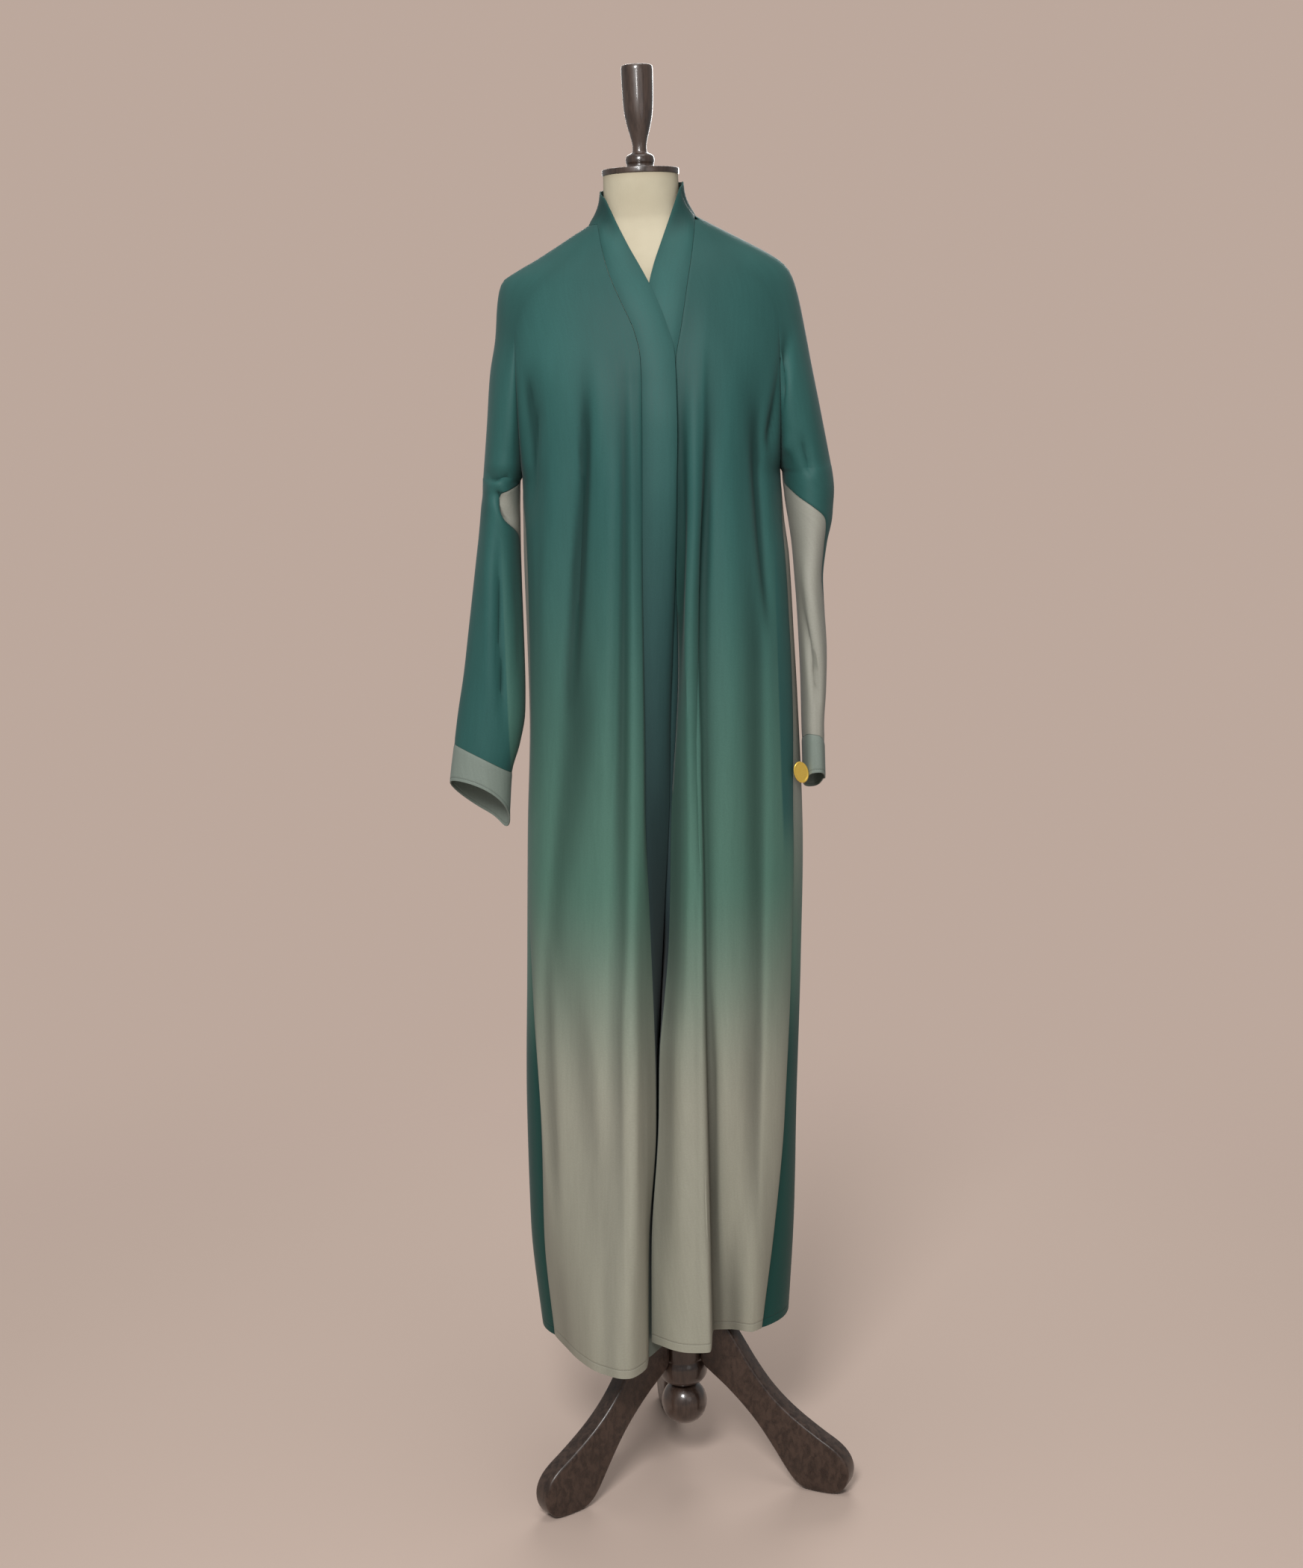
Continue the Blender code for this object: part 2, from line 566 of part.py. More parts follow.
def material(name, colour, roughness, metallic=0.0):
    finish = bpy.data.materials.new(name)
    finish.use_nodes = True
    shader = finish.node_tree.nodes['Principled BSDF']
    shader.inputs['Base Color'].default_value = (*colour, 1.0)
    shader.inputs['Roughness'].default_value = roughness
    shader.inputs['Metallic'].default_value = metallic
    return finish


def add_mesh(name, points, faces, colour, roughness, metallic=0.0):
    mesh = bpy.data.meshes.new(name)
    mesh.from_pydata([tuple(float(v) for v in p) for p in points], [], faces)
    mesh.validate()
    mesh.shade_smooth()
    mesh.set_sharp_from_angle(angle=math.radians(40))
    body = bpy.data.objects.new(name, mesh)
    body.location = (POLE[0], POLE[1], 0.0)
    mesh.materials.append(material(name, colour, roughness, metallic))
    bpy.context.collection.objects.link(body)
    return body


def fold_shares(side):
    """Column places: fold lines by number from the side seam, with extra columns between."""
    if side == 'right':
        return (0, 0.35, 0.7, 1, 1.5, 2, 2.5, 3, 3.5, 4, 5, 6, 7)
    return (0, 0.35, 0.7, 1, 1.5, 2, 2.5, 3, 3.5, 4, 5, 5.5, 6, 6.5, 7)


def front_panel(side):
    piece = Cloth('front_' + side, CLOTH, TEAL)
    body = front_grid(side, fold_shares(side))
    sleeve = sleeve_grid(side, 'front', SLEEVE_COLUMNS)
    if side == 'left':
        body = [row[::-1] for row in body]
        sleeve = [row[::-1] for row in sleeve]
    piece.grid(body)
    piece.grid(sleeve)
    return piece


def lift_neck(row):
    """Raises a row of the back's neckline towards its centre."""
    return [(x, y, z + NECK_RISE * neck_lift(y)) for x, y, z in row]


def back_panel():
    piece = Cloth('back', CLOTH, SAGE)
    body = back_grid()
    left = sleeve_grid('left', 'back', SLEEVE_COLUMNS)
    right = [row[::-1] for row in sleeve_grid('right', 'back', SLEEVE_COLUMNS)]
    for grid in (left, body, right):
        piece.grid([lift_neck(grid[0])] + grid[1:])
    return piece


def neck_lift(y):
    return ease(y / at(YOKE, 'back', SHOULDER['right']))


def band_stations(side):
    """Pairs of seam point and free edge point, from the centre back down to the hem."""
    pairs = []
    top = SHOULDER[side]
    # round the back of the neck
    row = back_grid()[0]
    middle = BACK_COLUMNS // 2
    half = row[middle:] if side == 'right' else row[:middle + 1][::-1]
    tail = sleeve_grid(side, 'back', SLEEVE_COLUMNS)[0][::-1]
    for x, y, z in lift_neck(half + tail[1:]):
        turn = math.atan2(y / at(YOKE, 'back', top), abs(x) / at(YOKE, side, top))
        pairs.append(((x, y, z), collar_edge(side, turn)))
    # from the shoulder seam to the front corner of the neck
    front = sleeve_grid(side, 'front', SLEEVE_COLUMNS)[0][1:]
    front += front_row(side, top, fold_shares(side))[1:]
    start = collar_edge(side, 0.0)
    end = edge_point(side, top)
    for x, y, z in front:
        share = y / front[-1][1]
        edge = [s + (e - s) * share for s, e in zip(start, end)]
        edge[0] += SIGN[side] * COLLAR_BULGE * math.sin(math.pi * share)
        pairs.append(((x, y, z), tuple(edge)))
    for z in YOKE_ROWS:
        pairs.append((front_row(side, z, [7])[0], edge_point(side, z)))
    for k in range(1, BODY_ROWS + 1):
        z = UNDERARM + ease_rows(k / BODY_ROWS) * (hem_height(side, 0.0) - UNDERARM)
        pairs.append((front_row(side, z, [7])[0], edge_point(side, z)))
    return pairs


COLLAR_BULGE = 0.0016


def collar_edge(side, turn):
    """The band's standing edge round the neck, from the shoulder (0) to the centre back."""
    height = 1.640 if side == 'right' else 1.648
    top = 1.656
    reach = at(YOKE, side, 1.645)
    rise = math.sin(turn) ** 2
    return (SIGN[side] * reach * math.cos(turn), 0.0535 * math.sin(turn),
            height + (top - height) * rise)


def edge_point(side, z):
    """The band's free edge in front, for a height of its seam."""
    key = 'redge' if side == 'right' else 'ledge'
    if z > CLOSING['z'][-1]:
        x, level = at(NECKLINE, key + '_x', z), at(NECKLINE, key + '_z', z)
        inside = at(NECKLINE, 'ledge_in', z) if side == 'left' else 0.0006
        return (x, front_surface(x, level) + inside, level)
    return (at(CLOSING, key + '_x', z), at(CLOSING, key + '_y', z), z)


def band(side):
    piece = Cloth('band_' + side, BAND, TEAL)
    rows = []
    for seam, edge in band_stations(side):
        middle = [(a + b) / 2 for a, b in zip(seam, edge)]
        row = [seam, tuple(middle), edge]
        rows.append(row if side == 'right' else row[::-1])
    piece.grid(rows)
    return piece


def cuff(side):
    """A strip round the end of a sleeve, hanging at a slant."""
    piece = Cloth('cuff_' + side, BAND, GREY_SAGE)
    sizes = SLEEVE_RIGHT if side == 'right' else SLEEVE_LEFT
    last = SLEEVE_ROWS[side][-1]
    over, under = at(sizes, 'over', last), at(sizes, 'under', last)
    step = [j / SLEEVE_COLUMNS for j in range(SLEEVE_COLUMNS)]
    angles = [over + (under - over) * t for t in step]
    angles += [under + (over + 360 - under) * t for t in step] + [over]
    rows = []
    for share in (0.0, 0.5, 1.0):
        row = []
        for angle in angles:
            top = slant(side, 'seam', angle) - SEAM * 1.5
            z = top + share * (slant(side, 'hem', angle) - top)
            x, y, _ = sleeve_point(side, angle, z)
            row.append((x, y, z))
        rows.append(row[::-1] if side == 'left' else row)
    piece.grid(rows)
    return piece


FORM = table(
    'z      side    front   back   power',
    (1.6570, 0.0450, 0.0450, 0.0450, 2.0),
    (1.6300, 0.0455, 0.0440, 0.0460, 2.0),
    (1.6080, 0.0490, 0.0445, 0.0530, 2.0),
    (1.5940, 0.0640, 0.0480, 0.0590, 2.0),
    (1.5780, 0.0930, 0.0560, 0.0660, 2.0),
    (1.5600, 0.1220, 0.0670, 0.0720, 2.0),
    (1.5400, 0.1500, 0.0785, 0.0780, 2.05),
    (1.5100, 0.1600, 0.0890, 0.0860, 2.2),
    (1.4400, 0.1560, 0.1060, 0.0920, 2.2),
    (1.3700, 0.1440, 0.1160, 0.0900, 2.2),
    (1.3000, 0.1340, 0.1100, 0.0840, 2.2),
    (1.1700, 0.1140, 0.0830, 0.0760, 2.2),
    (1.0600, 0.1350, 0.0760, 0.0840, 2.2),
    (0.9700, 0.1500, 0.0700, 0.0940, 2.25),
    (0.9050, 0.1490, 0.0680, 0.0930, 2.25),
    (0.8850, 0.1440, 0.0650, 0.0890, 2.25))
FORM_SHIFT = 0.004       # the shoulders lie this far to the wearer's left of the pole


def ring(z, sides, grow=0.0):
    """One level ring of the dress form."""
    power = 2 / at(FORM, 'power', z)
    shift = FORM_SHIFT * ease((1.62 - z) / 0.05)
    points = []
    for j in range(sides):
        a = 2 * math.pi * j / sides
        c, s = math.cos(a), math.sin(a)
        depth = at(FORM, 'front' if s >= 0 else 'back', z) + grow
        x = shift + (at(FORM, 'side', z) + grow) * math.copysign(abs(c) ** power, c)
        points.append((x, -depth * math.copysign(abs(s) ** power, s), z))
    return points


def loft(name, rings, colour, roughness, metallic=0.0):
    """A closed solid through level rings, each with the same number of points, top first."""
    sides = len(rings[0])
    points = [p for one in rings for p in one]
    faces = [list(range(sides))[::-1]]
    for i in range(len(rings) - 1):
        for j in range(sides):
            a, b = i * sides + j, i * sides + (j + 1) % sides
            faces.append([a, b, b + sides, a + sides])
    last = (len(rings) - 1) * sides
    faces.append([last + j for j in range(sides)])
    return add_mesh(name, points, faces, colour, roughness, metallic)


def dress_form():
    heights = (1.657, 1.640, 1.625, 1.612, 1.601, 1.590, 1.578, 1.566, 1.553, 1.540, 1.520,
               1.480, 1.430, 1.370, 1.300, 1.235, 1.170, 1.110, 1.050, 0.970, 0.905, 0.885)
    loft('dress_form', [ring(z, 32) for z in heights], LINEN, 0.9)


def turned(name, profile, sides, colour, roughness):
    """A turned solid from (radius, height) pairs, top first."""
    rings = []
    for radius, z in profile:
        rings.append([(radius * math.cos(2 * math.pi * j / sides),
                       -radius * math.sin(2 * math.pi * j / sides), z) for j in range(sides)])
    return loft(name, rings, colour, roughness)


CAP_TOP = 1.6640
CAP_BASE = 1.6573
POLE_RADIUS = 0.0140
HUB_TOP = 0.2450
BALL_HEIGHT = 0.0930
BALL_RADIUS = 0.0295
BALL_NECK = (0.0135, 0.1197)         # radius and height where it meets the hub
BALL_ANGLES = (37, 51, 65, 79, 93, 107, 121, 135, 149, 162, 173)

FINIAL = ((0.0110, 1.7845), (0.0178, 1.7835), (0.0190, 1.7800), (0.0186, 1.7600), (0.0180, 1.7400),
          (0.0164, 1.7250), (0.0135, 1.7120), (0.0102, 1.7010), (0.0083, 1.6920), (0.0086, 1.6850),
          (0.0118, 1.6800), (0.0165, 1.6765), (0.0172, 1.6725), (0.0166, 1.6690),
          (0.0175, 1.6643))
HUB = ((0.0270, HUB_TOP), (0.0297, 0.2380), (0.0297, 0.1560), (0.0306, 0.1500), (0.0318, 0.1400),
       (0.0305, 0.1300), (0.0255, 0.1225), (0.0195, 0.1200))


def stand():
    turned('neck_cap', ((0.0440, CAP_TOP), (0.0462, CAP_TOP - 0.0012), (0.0462, CAP_BASE + 0.0012),
                        (0.0448, CAP_BASE)), 32, DARK_WOOD, 0.3)
    turned('finial', FINIAL, 20, DARK_WOOD, 0.2)
    turned('pole', ((POLE_RADIUS, 0.8847), (POLE_RADIUS, HUB_TOP + 0.0003)), 20, DARK_WOOD, 0.4)
    turned('hub', HUB, 24, DARK_WOOD, 0.35)
    ball = [BALL_NECK]
    for a in np.radians(BALL_ANGLES):
        ball.append((BALL_RADIUS * math.sin(a), BALL_HEIGHT + BALL_RADIUS * math.cos(a)))
    turned('ball', ball, 20, DARK_WOOD, 0.35)
    for name, turn in (('leg_right', -54.0), ('leg_left', 66.0), ('leg_rear', 186.0)):
        leg(name, turn)


# Outline of a leg seen from its side: distance from the pole's axis and height
LEG = ((0.0301, 0.2280), (0.0480, 0.2280), (0.0640, 0.2160), (0.0820, 0.1880), (0.1010, 0.1570),
       (0.1230, 0.1280), (0.1510, 0.1020), (0.1880, 0.0770), (0.2140, 0.0620), (0.2270, 0.0470),
       (0.2310, 0.0300), (0.2260, 0.0120), (0.2130, 0.0000), (0.1780, 0.0000), (0.1600, 0.0060),
       (0.1460, 0.0230), (0.1280, 0.0520), (0.1030, 0.0880), (0.0700, 0.1220), (0.0440, 0.1430),
       (0.0350, 0.1500), (0.0301, 0.1580))
LEG_THICKNESS = 0.0270
LEG_ROUNDING = 0.0035


def leg(name, turn):
    """A flat sawn leg with eased edges and a flat sole."""
    outline = np.array(LEG)
    count = len(outline)
    points = []
    half = LEG_THICKNESS / 2
    for offset, ease_in in ((-half, LEG_ROUNDING), (-half + LEG_ROUNDING, 0.0),
                            (half - LEG_ROUNDING, 0.0), (half, LEG_ROUNDING)):
        for k, (r, z) in enumerate(outline):
            before, after = outline[k - 1], outline[(k + 1) % count]
            along = (after - before) / np.linalg.norm(after - before)
            inward = np.array([along[1], -along[0]])
            r2, z2 = np.array([r, z]) + inward * ease_in
            points.append((max(r2, LEG[0][0]), offset, max(z2, 0.0)))
    faces = [list(range(count))[::-1]]
    for layer in range(3):
        for k in range(count):
            a, b = layer * count + k, layer * count + (k + 1) % count
            faces.append([a, b, b + count, a + count])
    faces.append([3 * count + k for k in range(count)])
    a = math.radians(turn)
    out = (math.sin(a), -math.cos(a))
    side = (math.cos(a), math.sin(a))
    placed = [(out[0] * r + side[0] * s, out[1] * r + side[1] * s, z) for r, s, z in points]
    add_mesh(name, placed, faces, DARK_WOOD, 0.4)


PLATE = (0.0098, 0.0138, 0.0018)     # half width, half height and thickness of the oval plate
PLATE_AT = (0.1695, -0.0681, 0.9362)
PLATE_TURN = math.radians(25)        # the face looks a little towards the wearer's left
PLATE_LEAN = math.radians(20)


def cuff_plate():
    """The bare oval plate at the front corner of the left cuff."""
    out = np.array([math.sin(PLATE_TURN), -math.cos(PLATE_TURN), 0.0])
    along = np.array([math.cos(PLATE_TURN), math.sin(PLATE_TURN), 0.0])
    up = np.array([0.0, 0.0, 1.0])
    long_axis = up * math.cos(PLATE_LEAN) - along * math.sin(PLATE_LEAN)
    short_axis = along * math.cos(PLATE_LEAN) + up * math.sin(PLATE_LEAN)
    half_width, half_height, thick = PLATE
    sides = 24
    rings = []
    for scale, rise in ((0.80, 0.75), (0.87, 1.0), (1.0, 0.78), (1.0, 0.22), (0.90, 0.0)):
        one = []
        for j in range(sides):
            t = 2 * math.pi * j / sides
            one.append(np.array(PLATE_AT) + short_axis * half_width * scale * math.cos(t)
                       - long_axis * half_height * scale * math.sin(t) + out * thick * rise)
        rings.append(one)
    loft('cuff_plate', rings, BRASS, 0.25, 1.0)


def garment():
    pieces = [front_panel('right'), front_panel('left'), back_panel(),
              band('right'), band('left'), cuff('right'), cuff('left')]
    sew(pieces)


garment()
dress_form()
stand()
cuff_plate()
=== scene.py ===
import bpy
import math
import numpy as np
from mathutils import Matrix, Vector
from mathutils.kdtree import KDTree


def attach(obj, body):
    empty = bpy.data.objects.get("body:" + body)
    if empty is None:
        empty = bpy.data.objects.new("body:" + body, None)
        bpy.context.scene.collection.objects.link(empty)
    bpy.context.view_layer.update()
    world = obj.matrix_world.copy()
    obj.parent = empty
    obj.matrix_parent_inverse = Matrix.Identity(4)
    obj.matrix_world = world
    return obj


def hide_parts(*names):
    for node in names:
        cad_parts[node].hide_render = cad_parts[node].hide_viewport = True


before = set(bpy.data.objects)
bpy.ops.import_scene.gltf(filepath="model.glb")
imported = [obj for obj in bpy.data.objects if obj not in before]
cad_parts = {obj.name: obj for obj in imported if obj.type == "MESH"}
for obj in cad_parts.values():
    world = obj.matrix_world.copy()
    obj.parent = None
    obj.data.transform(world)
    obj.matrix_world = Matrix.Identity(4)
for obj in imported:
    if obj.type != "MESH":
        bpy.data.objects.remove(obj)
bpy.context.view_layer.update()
print("frame loaded:", len(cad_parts), "nodes")

# metres; the robe faces -Y, the wearer's right side lies at -X
poleAt = (0.0208, -0.0383)      # everything below is measured from the pole's axis
sideSign = {"right": -1.0, "left": 1.0}


# ---------- small helpers ----------

def table(header, *rows):
    rows = sorted(rows)
    return {name: np.array([row[i] for row in rows]) for i, name in enumerate(header.split())}


def curve(xs, ys, x):
    # a monotone curve through the points, level past its ends
    if x <= xs[0]:
        return float(ys[0])
    if x >= xs[-1]:
        return float(ys[-1])
    step = np.diff(xs)
    rise = np.diff(ys) / step
    slope = np.empty(len(xs))
    slope[0], slope[-1] = rise[0], rise[-1]
    for i in range(1, len(xs) - 1):
        if rise[i - 1] * rise[i] <= 0:
            slope[i] = 0.0
        else:
            near, far = 2 * step[i] + step[i - 1], step[i] + 2 * step[i - 1]
            slope[i] = (near + far) / (near / rise[i - 1] + far / rise[i])
    i = int(np.searchsorted(xs, x)) - 1
    t = (x - xs[i]) / step[i]
    u = 1 - t
    return float(ys[i] * u * u * (1 + 2 * t) + ys[i + 1] * t * t * (3 - 2 * t)
                 + step[i] * (slope[i] * t * u * u - slope[i + 1] * t * t * u))


def at(columns, name, z):
    return curve(columns["z"], columns[name], z)


def ease(t):
    t = min(max(t, 0.0), 1.0)
    return t * t * (3 - 2 * t)


def easeAll(t):
    t = np.clip(t, 0.0, 1.0)
    return t * t * (3 - 2 * t)


# ---------- node helpers ----------

def newGroup(name, inputs, outputs):
    group = bpy.data.node_groups.new(name, "ShaderNodeTree")
    for label, kind, value in inputs:
        socket = group.interface.new_socket(label, in_out="INPUT", socket_type="NodeSocket" + kind)
        if value is not None:
            socket.default_value = value
    for label, kind in outputs:
        group.interface.new_socket(label, in_out="OUTPUT", socket_type="NodeSocket" + kind)
    start = group.nodes.new("NodeGroupInput")
    end = group.nodes.new("NodeGroupOutput")
    return group, start, end


def addNode(tree, kind, **settings):
    node = tree.nodes.new("ShaderNode" + kind)
    for key, value in settings.items():
        setattr(node, key, value)
    return node


def maths(tree, operation, a, b=None, clamp=False):
    node = addNode(tree, "Math", operation=operation, use_clamp=clamp)
    for socket, value in zip(node.inputs, (a, b)):
        if value is None:
            continue
        if hasattr(value, "links"):
            tree.links.new(value, socket)
        else:
            socket.default_value = value
    return node.outputs[0]


def mixColour(tree, fac, a, b, blend="MIX"):
    node = addNode(tree, "Mix", data_type="RGBA", blend_type=blend)
    for socket, value in ((node.inputs[0], fac), (node.inputs[6], a), (node.inputs[7], b)):
        if hasattr(value, "links"):
            tree.links.new(value, socket)
        elif isinstance(value, (int, float)):
            socket.default_value = value
        else:
            socket.default_value = (*value, 1.0)
    return node.outputs[2]


def spread(tree, value, low, high, toLow=0.0, toHigh=1.0, kind="SMOOTHSTEP"):
    node = addNode(tree, "MapRange", interpolation_type=kind)
    tree.links.new(value, node.inputs[0])
    for socket, number in zip(node.inputs[1:5], (low, high, toLow, toHigh)):
        if hasattr(number, "links"):
            tree.links.new(number, socket)
        else:
            socket.default_value = number
    return node.outputs[0]


def clothWeaveGroup():
    # fine crepe-backed satin: threads a little over half a millimetre apart, and a soft slub
    group, start, end = newGroup("clothWeave",
                                 [("Cloth", "Vector", None), ("Pitch", "Float", 0.0009)],
                                 [("Height", "Float"), ("Shade", "Float")])
    links = group.links
    scale = maths(group, "DIVIDE", 1.0, start.outputs["Pitch"])
    spaced = addNode(group, "VectorMath", operation="SCALE")
    links.new(start.outputs["Cloth"], spaced.inputs[0])
    links.new(scale, spaced.inputs[3])
    parts = addNode(group, "SeparateXYZ")
    links.new(spaced.outputs[0], parts.inputs[0])
    diagonal = maths(group, "ADD", parts.outputs[0], maths(group, "MULTIPLY", parts.outputs[1], 0.62))
    twill = maths(group, "SINE", maths(group, "MULTIPLY", diagonal, 6.2832))
    cross = maths(group, "SINE", maths(group, "MULTIPLY", parts.outputs[1], 6.2832))
    threads = maths(group, "ADD", maths(group, "MULTIPLY", twill, 0.35),
                    maths(group, "MULTIPLY", cross, 0.2))
    fuzz = addNode(group, "TexNoise")
    fuzz.inputs["Scale"].default_value = 0.45
    fuzz.inputs["Detail"].default_value = 3.0
    links.new(spaced.outputs[0], fuzz.inputs["Vector"])
    slub = addNode(group, "TexNoise")
    slub.inputs["Scale"].default_value = 1.0
    slub.inputs["Detail"].default_value = 2.0
    long = addNode(group, "Mapping")
    long.inputs["Scale"].default_value = (0.25, 0.02, 1.0)
    links.new(spaced.outputs[0], long.inputs["Vector"])
    links.new(long.outputs[0], slub.inputs["Vector"])
    height = maths(group, "ADD", maths(group, "MULTIPLY", threads, 0.35), fuzz.outputs[0])
    height = maths(group, "ADD", height, maths(group, "MULTIPLY", slub.outputs[0], 0.5))
    links.new(height, end.inputs["Height"])
    shade = maths(group, "ADD", maths(group, "MULTIPLY", fuzz.outputs[0], 0.6),
                  maths(group, "MULTIPLY", slub.outputs[0], 0.4))
    links.new(shade, end.inputs["Shade"])
    return group


def dyeAndFoldShadeGroup():
    # the colour runs from one dye to another between two heights, with a greener belt between; it is
    # also darkened in the folds' hollows and lightened on their crests, as painted shade and painted
    # highlight
    group, start, end = newGroup("dyeRunAndFoldShade", [
        ("Upper", "Color", (0.04, 0.15, 0.13, 1)), ("Belt", "Color", (0.1, 0.2, 0.15, 1)),
        ("Lower", "Color", (0.3, 0.3, 0.24, 1)), ("Start", "Float", 0.86), ("End", "Float", 0.52),
        ("Shade", "Float", 0.5), ("Swell", "Float", 0.0), ("Sleeve", "Float", 0.0)],
        [("Colour", "Color")])
    links = group.links
    place = addNode(group, "TexCoord")
    parts = addNode(group, "SeparateXYZ")
    links.new(place.outputs["Object"], parts.inputs[0])
    cloud = addNode(group, "TexNoise")
    cloud.inputs["Scale"].default_value = 5.0
    cloud.inputs["Detail"].default_value = 2.0
    links.new(place.outputs["Object"], cloud.inputs["Vector"])
    wander = maths(group, "MULTIPLY", maths(group, "SUBTRACT", cloud.outputs[0], 0.5), 0.05)
    # the sleeves keep the upper dye down to their cuffs
    aside = spread(group, maths(group, "ABSOLUTE", parts.outputs[0], 0.0), 0.164, 0.168)
    sleeve = maths(group, "MULTIPLY", aside, spread(group, parts.outputs[2], 0.80, 0.93))
    lift = maths(group, "ADD", wander, maths(group, "MULTIPLY", sleeve, start.outputs["Sleeve"]))
    height = maths(group, "ADD", parts.outputs[2], lift)
    down = spread(group, height, start.outputs["Start"], start.outputs["End"], kind="LINEAR")
    toBelt = spread(group, down, 0.0, 0.70)
    toLower = spread(group, down, 0.60, 1.0)
    colour = mixColour(group, toBelt, start.outputs["Upper"], start.outputs["Belt"])
    colour = mixColour(group, toLower, colour, start.outputs["Lower"])
    bright = spread(group, start.outputs["Shade"], 0.3, 0.7, 0.93, 1.07, kind="LINEAR")
    blotch = addNode(group, "TexNoise")
    blotch.inputs["Scale"].default_value = 1.0
    blotch.inputs["Detail"].default_value = 2.0
    tall = addNode(group, "Mapping")
    tall.inputs["Scale"].default_value = (26.0, 26.0, 2.2)
    links.new(place.outputs["Object"], tall.inputs["Vector"])
    links.new(tall.outputs[0], blotch.inputs["Vector"])
    streak = spread(group, blotch.outputs[0], 0.3, 0.7, 0.95, 1.06, kind="LINEAR")
    tone = addNode(group, "CombineColor")
    # painted shade and painted highlight: the colour is darkened in fold hollows and lightened on
    # fold crests, following the swell measure
    depth = spread(group, start.outputs["Swell"], -0.9, 0.8, 0.60, 1.22, kind="SMOOTHSTEP")
    amount = maths(group, "MULTIPLY", maths(group, "MULTIPLY", bright, streak), depth)
    for socket in tone.inputs:
        links.new(amount, socket)
    colour = mixColour(group, 1.0, colour, tone.outputs[0], blend="MULTIPLY")
    links.new(colour, end.inputs["Colour"])
    return group


def stitchLineGroup():
    # a row of short stitches at a set distance from an edge; Edge holds (distance, along)
    group, start, end = newGroup("stitchLine", [
        ("Edge", "Vector", None), ("Inset", "Float", 0.011), ("Length", "Float", 0.0026),
        ("Width", "Float", 0.0004)], [("Mask", "Float"), ("Height", "Float")])
    links = group.links
    parts = addNode(group, "SeparateXYZ")
    links.new(start.outputs["Edge"], parts.inputs[0])
    off = maths(group, "ABSOLUTE", maths(group, "SUBTRACT", parts.outputs[0],
                                         start.outputs["Inset"]))
    line = spread(group, maths(group, "DIVIDE", off, start.outputs["Width"]), 0.6, 1.2, 1.0, 0.0)
    groove = spread(group, maths(group, "DIVIDE", off, start.outputs["Width"]), 0.8, 4.0, 1.0, 0.0)
    beat = maths(group, "FRACT", maths(group, "DIVIDE", parts.outputs[1], start.outputs["Length"]))
    gap = maths(group, "ABSOLUTE", maths(group, "SUBTRACT", beat, 0.5))
    dash = spread(group, gap, 0.34, 0.44, 1.0, 0.0)
    mask = maths(group, "MULTIPLY", line, dash)
    links.new(mask, end.inputs["Mask"])
    links.new(maths(group, "SUBTRACT", maths(group, "MULTIPLY", mask, 0.6), groove),
              end.inputs["Height"])
    return group


def woodGrainGroup():
    group, start, end = newGroup("woodGrain", [
        ("Place", "Vector", None), ("Dark", "Color", (0.026, 0.015, 0.011, 1)),
        ("Light", "Color", (0.060, 0.036, 0.026, 1)), ("EdgePale", "Float", 0.3)],
        [("Colour", "Color"), ("Roughness", "Float"), ("Height", "Float")])
    links = group.links
    rings = addNode(group, "TexNoise")
    rings.inputs["Scale"].default_value = 1.0
    rings.inputs["Detail"].default_value = 6.0
    rings.inputs["Distortion"].default_value = 0.6
    links.new(start.outputs["Place"], rings.inputs["Vector"])
    pores = addNode(group, "TexNoise")
    pores.inputs["Scale"].default_value = 7.0
    pores.inputs["Detail"].default_value = 3.0
    links.new(start.outputs["Place"], pores.inputs["Vector"])
    grain = maths(group, "ADD", maths(group, "MULTIPLY", rings.outputs[0], 0.7),
                  maths(group, "MULTIPLY", pores.outputs[0], 0.3))
    band = spread(group, grain, 0.38, 0.62)
    colour = mixColour(group, band, start.outputs["Dark"], start.outputs["Light"])
    edge = addNode(group, "NewGeometry")
    # the sharp, outward edges are made paler
    paleEdge = spread(group, edge.outputs["Pointiness"], 0.53, 0.62)
    paleEdge = maths(group, "MULTIPLY", paleEdge, start.outputs["EdgePale"])
    colour = mixColour(group, paleEdge, colour, (0.16, 0.11, 0.085))
    links.new(colour, end.inputs["Colour"])
    links.new(spread(group, grain, 0.3, 0.7, 0.26, 0.42), end.inputs["Roughness"])
    links.new(grain, end.inputs["Height"])
    return group


clothWeave = clothWeaveGroup()
dyeRunAndFoldShade = dyeAndFoldShadeGroup()
stitchLine = stitchLineGroup()
woodGrain = woodGrainGroup()


def startMaterial(name):
    material = bpy.data.materials.new(name)
    material.use_nodes = True
    tree = material.node_tree
    return material, tree, tree.nodes["Principled BSDF"]


def place(tree, group, **values):
    node = addNode(tree, "Group")
    node.node_tree = group
    for key, value in values.items():
        if hasattr(value, "links"):
            tree.links.new(value, node.inputs[key])
        elif isinstance(value, tuple):
            node.inputs[key].default_value = (*value, 1.0)
        else:
            node.inputs[key].default_value = value
    return node


def bumpInto(tree, shader, height, distance, strength=1.0, before=None):
    bump = addNode(tree, "Bump")
    bump.inputs["Distance"].default_value = distance
    bump.inputs["Strength"].default_value = strength
    tree.links.new(height, bump.inputs["Height"])
    if before is not None:
        tree.links.new(before, bump.inputs["Normal"])
    tree.links.new(bump.outputs[0], shader.inputs["Normal"])
    return bump.outputs[0]


satin = {
    "roughness": 0.56, "sheen": 0.05, "sheenRoughness": 0.4, "specular": 0.16,
    "threadPitch": 0.0009, "threadDepth": 0.00012, "stitchShade": 0.55}


